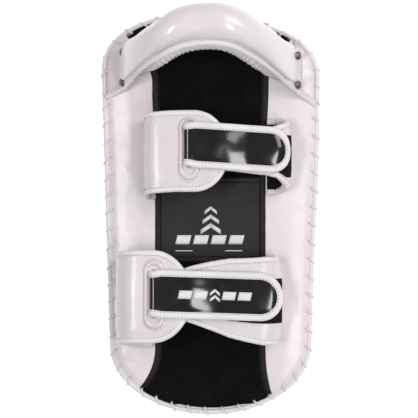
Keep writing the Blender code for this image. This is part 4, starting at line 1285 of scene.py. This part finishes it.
class Strap:
    """A strap's middle surface: path, centre line, half width and the round at its free end."""

    def __init__(self, path, centre, half, out=1.0, start=0.0, stop=None, round_end=0.0):
        self.path, self.centre, self.half, self.out = path, centre, half, out
        self.start, self.stop, self.round_end = start, path.length if stop is None else stop, round_end

    def place(self, distance, v, lift):
        at, normal = self.path.at(distance)
        lift *= self.out
        return Vector((at.x + normal.x * lift, self.centre(distance) + v, at.y + normal.y * lift))

    def normal(self, distance):
        _, normal = self.path.at(distance)
        return Vector((normal.x, 0.0, normal.y)) * self.out

    def reach(self, distance, inset):
        """Half width at a distance, moved in from the strap's outline."""
        straight = self.stop - self.round_end
        half = self.half(distance) - inset
        if not self.round_end or distance <= straight:
            return half
        share = min((distance - straight) / (self.round_end - inset), 1.0)
        return half * math.sqrt(max(1.0 - share * share, 0.0))

    def evenly(self, last, step):
        """Evenly spaced distances from the strap's start."""
        count = max(int((last - self.start) / step), 2)
        return [self.start + (last - self.start) * i / count for i in range(count + 1)]

    def rows(self, inset):
        """Distances along the strap for a layer that ends inset from the free end."""
        straight = self.stop - self.round_end
        found = self.evenly(straight if self.round_end else self.stop - inset, STRAP_STEP)
        if self.round_end:
            found += [straight + (self.round_end - inset) * math.sin(math.radians(a))
                      for a in (6, 12, 18, 24, 30, 36, 42, 48, 54, 60, 66, 72, 77, 81, 85)]
        return found

    def layer(self, inset, top, bottom):
        """A closed layer between two lift functions of distance and v."""
        upper, lower = [], []
        for distance in self.rows(inset):
            wide = self.reach(distance, inset)
            across = [wide * share for share in sine_shares(STRAP_COLUMNS)]
            upper.append([self.place(distance, v, top(distance, v)) for v in across])
            lower.append([self.place(distance, v, bottom(distance, v)) for v in across])
        return solid(bmesh.new(), upper, lower)

    def edge_line(self, inset, step):
        """(distance, v) pairs up one side, round the end and down the other side."""
        straight = self.stop - self.round_end
        up = self.evenly(straight, step)
        near = [(d, -(self.half(d) - inset)) for d in up]
        far = [(d, self.half(d) - inset) for d in up[::-1]]
        if not self.round_end:
            return near, far
        half, reach = self.half(self.stop) - inset, self.round_end - inset
        turn = [(straight + reach * math.sin(math.radians(a)), -half * math.cos(math.radians(a)))
                for a in range(5, 180, 5)]
        return near + turn + far


# the tape's cross section: share of its width from the inner edge, share of its thickness
TAPE_SEAM = (0.16, 0.82)
TAPE_PROFILE = ((0.00, 0.62), (0.03, 0.82), (0.09, 0.90), TAPE_SEAM, (0.23, 0.92), (0.36, 1.02),
                (0.52, 1.08), (0.70, 1.04), (0.85, 0.86), (0.96, 0.50), (1.00, 0.00), (0.95, -0.48),
                (0.83, -0.84), (0.60, -1.00), (0.30, -1.00), (0.06, -0.88), (0.00, -0.60))


def tape_rings(strap, thick, outer, inner, seed, fold):
    """Cross sections of a folded tape. Fold tells where it puckers, as the middle and width of a hill."""
    rings = []
    for (d_out, v_out), (d_in, v_in) in zip(outer, inner):
        ring = []
        wave = 0.00035 * rough(d_out, v_out, seed, 0.009, seed)
        pucker = 1.0 + 0.07 * rough(d_out, v_out, seed, 0.0042, 2.0 * seed)
        if fold:
            phase = 2.0 * math.pi * d_out / 0.0034 + 2.0 * math.sin(310.0 * d_out)
            pucker += 0.42 * hill(d_out, *fold) * math.sin(phase)
        for share, lift in TAPE_PROFILE:
            d = d_in + (d_out - d_in) * share
            v = v_in + (v_out - v_in) * share
            ring.append(strap.place(d, v + math.copysign(wave, v_out) * share, thick * lift * pucker))
        rings.append(ring)
    return rings


def nearest_normal(table, normals):
    """An up function that reads the normal of the nearest place in a table."""
    return lambda place: normals[int(np.argmin(((table - np.array(place)) ** 2).sum(axis=1)))]


def bound_edge(strap, thick, seed, fold=None, wide=BINDING):
    """Folded tape round the strap's edge, with its row of stitches. Returns the two meshes' shapes."""
    shape, threads = bmesh.new(), bmesh.new()
    step = 0.0007 if fold else STRAP_STEP
    outer, inner = strap.edge_line(0.0, step), strap.edge_line(wide, step)
    runs = [(outer, inner)] if strap.round_end else list(zip(outer, inner))
    for out_run, in_run in runs:
        sweep(shape, tape_rings(strap, thick, out_run, in_run, seed, fold))
        seam, normals = [], []
        for (d_out, v_out), (d_in, v_in) in zip(out_run, in_run):
            d, v = d_in + (d_out - d_in) * TAPE_SEAM[0], v_in + (v_out - v_in) * TAPE_SEAM[0]
            seam.append(strap.place(d, v, thick * 0.86))
            normals.append(strap.normal(d))
        stitch_line(threads, seam, nearest_normal(np.array(seam), normals))
    return shape, threads


def stadium(x, y, wide, long, count):
    """A ring of points round a slot."""
    points = []
    for i in range(count):
        angle = 2.0 * math.pi * i / count
        bow = 0.0
        if abs(math.sin(angle)) > 1e-6:
            bow = math.copysign(long - wide, math.sin(angle))
        points.append((x + wide * math.cos(angle), y + bow + wide * math.sin(angle)))
    return points


def stadium_run(x, y, wide, long, step):
    """Evenly spaced points round a slot."""
    straight = 2.0 * (long - wide)
    length = 2.0 * straight + 2.0 * math.pi * wide
    count = int(length / step)
    found = []
    for i in range(count):
        run = length * i / count
        if run < straight:
            found.append((x + wide, y - (long - wide) + run))
        elif run < straight + math.pi * wide:
            a = (run - straight) / wide
            found.append((x + wide * math.cos(a), y + (long - wide) + wide * math.sin(a)))
        elif run < 2.0 * straight + math.pi * wide:
            found.append((x - wide, y + (long - wide) - (run - straight - math.pi * wide)))
        else:
            a = math.pi + (run - 2.0 * straight - math.pi * wide) / wide
            found.append((x + wide * math.cos(a), y - (long - wide) + wide * math.sin(a)))
    return found


def slot_size(spec):
    """The opening that the tongue fills: shorter than the ring's inner seam."""
    return spec["slot"][0], spec["tongue_y"][0] - 0.0002, 0.0030, spec["tongue_half"] - 0.0004


def cut_slot(item, spec):
    """Cuts the slot through a flap layer."""
    x, y, half_x, half_y = slot_size(spec)
    ring = stadium_run(x, y, half_x, half_y, 0.0012)
    heights = (RIM + FLAP_H - 0.012, RIM + FLAP_H + 0.012)
    cutter = add_shape("cutter", sweep(bmesh.new(), [[(px, py, z) for px, py in ring] for z in heights]))
    boolean = item.modifiers.new("slot", "BOOLEAN")
    boolean.operation = "DIFFERENCE"
    boolean.solver = "EXACT"
    boolean.object = cutter
    apply_modifiers(item)
    bpy.data.objects.remove(cutter)
    return item


def root_bend(body, x):
    """What keep takes for a piece over a strap's sewn root, between the pad and the strap's own body."""
    return "pad", body, (x, 0.0, RIM + ROOT_LOW), (x, 0.0, RIM + ROOT_HIGH)


def build_flap(spec):
    """The flap with the slot: leather over suede, a bound edge and the padded ring."""
    name = spec["name"]
    bend = root_bend(f"{name}_flap", spec["flap_path"][0][0])
    path = StrapPath(spec["flap_path"])
    low, high = spec["flap_y"]
    half = spec["flap_half"]
    top_run = path.distance_at(lambda at: at.y > RIM + FLAP_H - 0.0008)

    def centre(distance):
        root = 1.0 - smooth_step(0.25 * top_run, 0.75 * top_run, distance)
        return low + (high - low) * smooth_step(0.0, 0.6 * path.length, distance) - 0.0014 * root

    def half_at(distance):
        return half + 0.0016 * (1.0 - smooth_step(0.25 * top_run, 0.75 * top_run, distance))

    strap = Strap(path, centre, half_at, round_end=half * 0.86)
    inner = half - BINDING
    seed = spec["flap_seed"]

    def top(distance, v):
        edge = min(abs(v) / inner, 1.0)
        puff = 0.0013 * (1.0 - edge ** 4)
        puff *= 1.0 - smooth_step(strap.stop - 0.016, strap.stop - 0.006, distance)
        wave = 0.0005 * rough(distance, v, 0.0, 0.020, seed) + 0.0002 * rough(distance, v, 0.0, 0.007, seed)
        fold = 0.0006 * hill(distance, top_run * 0.55, 0.012) * rough(0.0, v, 0.0, 0.0060, seed)
        return COVER_TOP + puff + wave * (1.0 - edge ** 6) + fold

    cover = add_shape(f"{name}_flap_leather", strap.layer(TUCK, top, lambda d, v: COVER_UNDER))
    keep(cut_slot(cover, spec), strap_leather_painted_shade, bend, "white_leather", f"{name}_flap_cover", fill=0.5)

    def under(distance, v):
        return -COVER_TOP - 0.0003 * (1.0 + rough(distance, v, 0.0, 0.012, seed + 2.0))

    lining = add_shape(f"{name}_flap_suede", strap.layer(TUCK, lambda d, v: -COVER_UNDER, under))
    keep(cut_slot(lining, spec), lining_black, bend, "black_suede", f"{name}_flap_lining")
    tape, threads = bound_edge(strap, STRAP_TAPE, seed)
    piece(f"{name}_flap_tape", tape, tape_leather, bend, "white_binding", f"{name}_flap_binding")
    build_slot_ring(spec, threads)
    piece(f"{name}_flap_stitches", threads, pale_thread_painted_shade, bend, "white_binding")


def build_slot_ring(spec, threads):
    """The padded ring that is sewn round the slot."""
    name = spec["name"]
    x, inner_y, half_x, half_y = slot_size(spec)
    y = spec["slot"][1]
    outer_x, outer_y = spec["ring"]
    base = RIM + FLAP_H + COVER_TOP
    # share from the slot's edge to the ring's edge, and lift over the flap
    profile = ((-0.03, -0.0024), (-0.03, 0.0002), (0.03, 0.0010), (0.15, 0.0013), (0.25, 0.0011),
               (0.30, 0.0006), (0.35, 0.0012), (0.44, 0.0028), (0.56, 0.0035), (0.69, 0.0031),
               (0.78, 0.0018), (0.83, 0.0009), (0.88, 0.0016), (0.95, 0.0012), (1.00, 0.0002),
               (0.98, -0.0008))
    inner = stadium(x, inner_y, half_x, half_y, RING_STEPS)
    outer = stadium(x, y, outer_x, outer_y, RING_STEPS)
    rings = []
    for (ix, iy), (ox, oy) in zip(inner, outer):
        rings.append([(ix + (ox - ix) * share, iy + (oy - iy) * share,
                       base + lift + 0.0003 * rough(ix, iy, share, 0.009, 2.2)) for share, lift in profile])
    piece(f"{name}_slot_pad", sweep(bmesh.new(), rings, loop=True), strap_leather_painted_shade, f"{name}_flap",
          "white_leather", f"{name}_slot_ring", fill=0.5)
    for share, lift in ((0.83, 0.0010), (0.30, 0.0007)):
        wide = half_x + (outer_x - half_x) * share
        long = half_y + (outer_y - half_y) * share
        middle = inner_y + (y - inner_y) * share
        line = [Vector((px, py, base + lift)) for px, py in stadium_run(x, middle, wide, long, 0.001)]
        stitch_line(threads, line + [line[0]], facing(0.0, 0.0, 1.0))


def build_wing(spec):
    """The wing from the other side, with the tape that the tongue closes on."""
    name = spec["name"]
    body = f"{name}_wing"
    bend = root_bend(body, spec["wing_path"][0][0])
    path = StrapPath(spec["wing_path"])
    low, high = spec["wing_y"]
    seed = spec["wing_seed"]

    def reaches(distance):
        """How far the wing reaches from its middle towards the head and the foot."""
        return read_pairs(distance, spec["wing_head"]), read_pairs(distance, spec["wing_halves"])

    def middle(distance):
        return low + (high - low) * smooth_step(0.25 * path.length, 0.8 * path.length, distance)

    def centre(distance):
        head, foot = reaches(distance)
        return middle(distance) + 0.5 * (head - foot)

    def half_at(distance):
        return 0.5 * sum(reaches(distance))

    strap = Strap(path, centre, half_at, out=-1.0)
    fold_at = path.distance_at(lambda at: at.x > max(place.x for place in path.points) - 0.0004)

    def crown(distance, v):
        """How far the wing's middle bows out at its fold, where the tongue pulls it round."""
        share = min(abs(v) / half_at(distance), 1.0)
        return spec["crown"] * hill(distance, fold_at + 0.005, 0.010) * (1.0 - share ** 4)

    def top(distance, v):
        edge = min(abs(v) / max(half_at(distance) - BINDING, 0.004), 1.0)
        fold = 0.0009 * hill(distance, fold_at, 0.018) * rough(0.0, v, 0.0, 0.0055, seed)
        wave = 0.0006 * rough(distance, v, 0.0, 0.016, seed)
        puff = 0.0006 * (1.0 - edge ** 4) + (fold + wave) * (1.0 - edge ** 6)
        return COVER_TOP + puff + crown(distance, v)

    def under(distance, v):
        wave = 0.0003 * (1.0 + rough(distance, v, 0.0, 0.012, seed + 2.0))
        return crown(distance, v) - COVER_TOP - wave

    cover = strap.layer(TUCK, top, lambda d, v: crown(d, v) + COVER_UNDER)
    piece(f"{name}_wing_leather", cover, strap_leather_painted_shade, bend, "white_leather", f"{name}_wing_cover",
          fill=0.4)
    lining = strap.layer(TUCK, lambda d, v: crown(d, v) - COVER_UNDER, under)
    piece(f"{name}_wing_suede", lining, lining_black, bend, "black_suede", f"{name}_wing_lining")
    tape, threads = bound_edge(strap, STRAP_TAPE, seed, (fold_at, 0.013))
    piece(f"{name}_wing_tape", tape, tape_leather, bend, "white_binding", f"{name}_wing_binding")
    piece(f"{name}_wing_stitches", threads, pale_thread_painted_shade, bend, "white_binding")
    start = path.distance_at(lambda at: at.y > RIM + 0.030)
    stop = path.distance_at(lambda at: at.x < spec["patch_x"] and at.y > RIM + 0.030)
    reach = spec["tongue_half"] - 0.0018

    def patch_half(distance):
        return min(reach, max(min(reaches(distance)) - BINDING - 0.0006, 0.010))

    patch = Strap(path, middle, patch_half, out=-1.0, start=start, stop=stop)

    def bow(distance, v):
        return COVER_TOP + 0.0006 + crown(distance, v + middle(distance) - centre(distance))

    shape = patch.layer(0.0, lambda d, v: bow(d, v) + 0.0009 + 0.0002 * rough(d, v, 0.0, 0.002, seed),
                        lambda d, v: bow(d, v) - 0.0008)
    piece(f"{name}_loop_tape", shape, patch_black, body, "hook_and_loop", f"{name}_loop_patch")


def tongue_tail(spec):
    """The part of the tongue that lies on the wing's hook-and-loop patch, then its free tip."""
    wing = StrapPath(spec["wing_path"])
    near, far = spec["tongue_seat"]
    tail = []
    for i in range(200):
        place, normal = wing.at(wing.length * i / 199)
        seat = place - normal * SEAT_LIFT
        if near < seat.x < far and seat.y > RIM + WING_H:
            tail.append((seat.x, seat.y - RIM))
    return tail[::-12] + spec["tongue_tip"]


def build_tongue(spec):
    """The tongue with its turn through the slot, as one ribbon that bends where it folds back."""
    name = spec["name"]
    turn_x = spec["turn_x"]
    slot_x = spec["slot"][0]
    turn = ((0.0006, -0.0045), (-0.0014, -0.0018), (-0.0010, 0.0012), (0.0022, 0.0022), (0.0080, 0.0012),
            (0.0160, 0.0003))
    upright = [(slot_x + 0.0006, WING_H + 0.0010), (slot_x, WING_H + 0.0040)]
    upright += [(turn_x + x, TONGUE_H + h) for x, h in turn]
    path = StrapPath(upright + spec["tongue_run"] + tongue_tail(spec), steps=8)
    near, far = spec["tongue_y"]
    half = spec["tongue_half"]
    flat = path.distance_at(lambda at: at.x > turn_x + 0.004 and at.y > RIM + TONGUE_H - 0.001)
    seed = spec["tongue_seed"]

    def centre(distance):
        return near + (far - near) * min(max((distance - flat) / (path.length - flat), 0.0), 1.0)

    def half_at(distance):
        return half - 0.0014 * (1.0 - smooth_step(flat - 0.004, flat + 0.006, distance))

    strap = Strap(path, centre, half_at, round_end=half)
    straight = path.length - half

    def top(distance, v):
        edge = min(math.hypot(max(distance - straight, 0.0), v) / (half - TONGUE_BINDING), 1.0)
        on_top = smooth_step(flat - 0.002, flat + 0.012, distance)
        puff = 0.0017 * (1.0 - edge ** 2.4) * on_top
        wave = 0.0013 * rough(distance, v * 0.7, 0.0, 0.019, seed) * on_top
        return 0.0010 + puff + wave * (1.0 - edge ** 4)

    bend = (f"{name}_flap", f"{name}_tongue", (turn_x + 0.0016, 0.0, RIM + TONGUE_H - 0.0010),
            (turn_x + 0.0170, 0.0, RIM + TONGUE_H + 0.0030))
    piece(f"{name}_tongue_leather", strap.layer(TUCK, top, lambda d, v: -0.0013), gloss_black, bend,
          "black_gloss_leather", f"{name}_tongue", f"{name}_strap_turn")
    tape, threads = bound_edge(strap, TONGUE_TAPE, seed, wide=TONGUE_BINDING)
    piece(f"{name}_tongue_tape", tape, tape_leather, bend, "white_binding", f"{name}_tongue_binding")
    piece(f"{name}_tongue_stitches", threads, pale_thread_painted_shade, bend, "white_binding")
    hook_start = flat + 0.55 * (path.length - flat)
    hook = Strap(path, centre, lambda _: half - BINDING - 0.0024, start=hook_start, stop=path.length - 0.018)
    shape = hook.layer(0.0, lambda d, v: -0.0011,
                       lambda d, v: -0.0026 - 0.0002 * rough(d, v, 0.0, 0.002, seed))
    piece(f"{name}_hook_tape", shape, patch_black, f"{name}_tongue", "hook_and_loop", f"{name}_hook_patch")
    return strap, top, bend


# ---------------------------------------------------------------- printed marks, plain shapes only
PRINT_TOP = 0.00028
PRINT_UNDER = -0.0004


def decal(shape, outline_points, surface):
    """A thin raised shape whose points are placed by the surface function."""
    top = [shape.verts.new(surface(u, v, PRINT_TOP)) for u, v in outline_points]
    low = [shape.verts.new(surface(u, v, PRINT_UNDER)) for u, v in outline_points]
    shape.faces.new(top)
    shape.faces.new(low[::-1])
    add_faces(shape, [top, low], loop_columns=True)


def bar(shape, u, v, wide, tall, slant, surface):
    """A slanted bar that follows the curve under it."""
    cells = max(int(wide / 0.002), 2)
    steps = [wide * i / cells for i in range(cells + 1)]
    grids = [[[surface(u + step + slant * j / 3, v + tall * j / 3, lift) for step in steps]
              for j in range(4)] for lift in (PRINT_TOP, PRINT_UNDER)]
    solid(shape, *grids)


def chevron(shape, u, v, wide, tall, thick, surface):
    """Two slanted bands that meet in a point."""
    for side in (-1, 1):
        corners = [(u, v + tall), (u + side * wide, v), (u + side * wide, v - thick), (u, v + tall - thick)]
        decal(shape, corners if side > 0 else corners[::-1], surface)


def build_prints():
    """Plain chevrons, bars and lines on the middle panel."""
    def on_panel(x, y, lift):
        return on_back(x, y, 0.0009 + 0.0006 * rough(x, y, 0.0, 0.028, 5.0) + lift)

    shape = bmesh.new()
    for y, wide, tall, thick in ((-0.0165, 0.0100, 0.0066, 0.0046), (-0.0070, 0.0082, 0.0058, 0.0040),
                                 (0.0020, 0.0062, 0.0050, 0.0034)):
        chevron(shape, 0.0004, y, wide, tall, thick, on_panel)
    for k in range(4):
        bar(shape, -0.0350 + 0.0176 * k, -0.0310, 0.0140, 0.0090, 0.0022, on_panel)
    for left in (-0.0350, 0.0146):
        bar(shape, left, -0.0380, 0.0172, 0.0009, 0.0, on_panel)
    piece("channel_marks", shape, ink, "pad", "black_vinyl")


def build_tongue_marks(strap, top, body):
    """Plain bars and a chevron printed along the lower tongue."""
    start = strap.path.distance_at(lambda at: at.x > -0.0330 and at.y > RIM + TONGUE_H - 0.0010)

    def on_tongue(u, v, lift):
        return strap.place(start + u, v, top(start + u, v) + lift)

    shape = bmesh.new()
    for u in (0.0, 0.0150, 0.0430, 0.0580):
        bar(shape, u, -0.0040, 0.0125, 0.0080, 0.0018, on_tongue)
    for v in (-0.0034, 0.0024):
        chevron(shape, 0.0362, v, 0.0052, 0.0040, 0.0030, on_tongue)
    piece("lower_tongue_marks", shape, ink, body, "black_gloss_leather")


# ---------------------------------------------------------------- build it all
build_side_panels()
build_centre()
build_centre_bindings()
build_gusset()
build_strike_face()
build_laced_edge()
build_guard()
build_handle()
for spec in (UPPER, LOWER):
    build_flap(spec)
    build_wing(spec)
    tongue_parts = build_tongue(spec)
build_tongue_marks(*tongue_parts)
build_prints()


# ---------------------------------------------------------------- stage, light and camera
FLOOR_HALF = 6.0
FLOOR_Z = -0.0005
FLOOR_GLOW = 0.45
WORLD_STRENGTH = 0.27
PALE = (1.0, 0.99, 1.0)
LIGHT_TARGET = Vector((0.0, 0.0, 0.1))
LENS = 129.19
CAMERA_PLACE = (-0.0013, 0.0041, RIM + 1.5)


def add_light(name, place, size, power, colour):
    """An area light that faces the pad and whose longer side runs along Y."""
    data = bpy.data.lights.new(name, "AREA")
    data.shape = "RECTANGLE"
    data.size, data.size_y = size
    data.energy = power
    data.color = colour
    back = (Vector(place) - LIGHT_TARGET).normalized()
    up = (Vector((0.0, 1.0, 0.0)) - back * back.y).normalized()
    item = bpy.data.objects.new(name, data)
    item.matrix_world = Matrix.Translation(place) @ Matrix((up.cross(back), up, back)).transposed().to_4x4()
    bpy.context.scene.collection.objects.link(item)


def build_stage():
    """A white floor that glows a little, a pale world, two long windows and a key light."""
    shape = bmesh.new()
    corners = [(x * FLOOR_HALF, y * FLOOR_HALF, FLOOR_Z) for x, y in ((-1, -1), (1, -1), (1, 1), (-1, 1))]
    shape.faces.new([shape.verts.new(corner) for corner in corners])
    floor = add_shape("floor", shape)
    n = Nodes("floor")
    tone = n.blend(n.noise(0.4, 2.0), (0.93, 0.93, 0.93, 1.0), (0.95, 0.95, 0.95, 1.0))
    floor.data.materials.append(n.out(Base_Color=tone, Roughness=0.9, Emission_Color=(1.0, 1.0, 1.0, 1.0),
                                      Emission_Strength=FLOOR_GLOW))
    world = bpy.data.worlds.new("studio")
    bpy.context.scene.world = world
    world.use_nodes = True
    back = world.node_tree.nodes["Background"]
    back.inputs["Color"].default_value = (*PALE, 1.0)
    back.inputs["Strength"].default_value = WORLD_STRENGTH
    add_light("window_left", (-0.62, -0.05, 1.62), (0.25, 0.70), 9.0, PALE)
    add_light("window_right", (0.66, -0.35, 1.60), (0.25, 0.80), 7.0, PALE)
    add_light("key", (1.05, 0.75, 1.40), (0.9, 0.9), 12.5, (1.0, 0.99, 0.99))


def build_camera():
    """A long lens straight above the pad, as in the photograph."""
    data = bpy.data.cameras.new("camera")
    data.sensor_width = 36.0
    data.lens = LENS
    data.clip_end = 20.0
    item = bpy.data.objects.new("camera", data)
    item.location = CAMERA_PLACE
    bpy.context.scene.collection.objects.link(item)
    bpy.context.scene.camera = item


build_stage()
build_camera()
view = bpy.context.scene.view_settings
view.view_transform = "Standard"
view.look = "None"
view.exposure = 0.0
view.gamma = 1.0
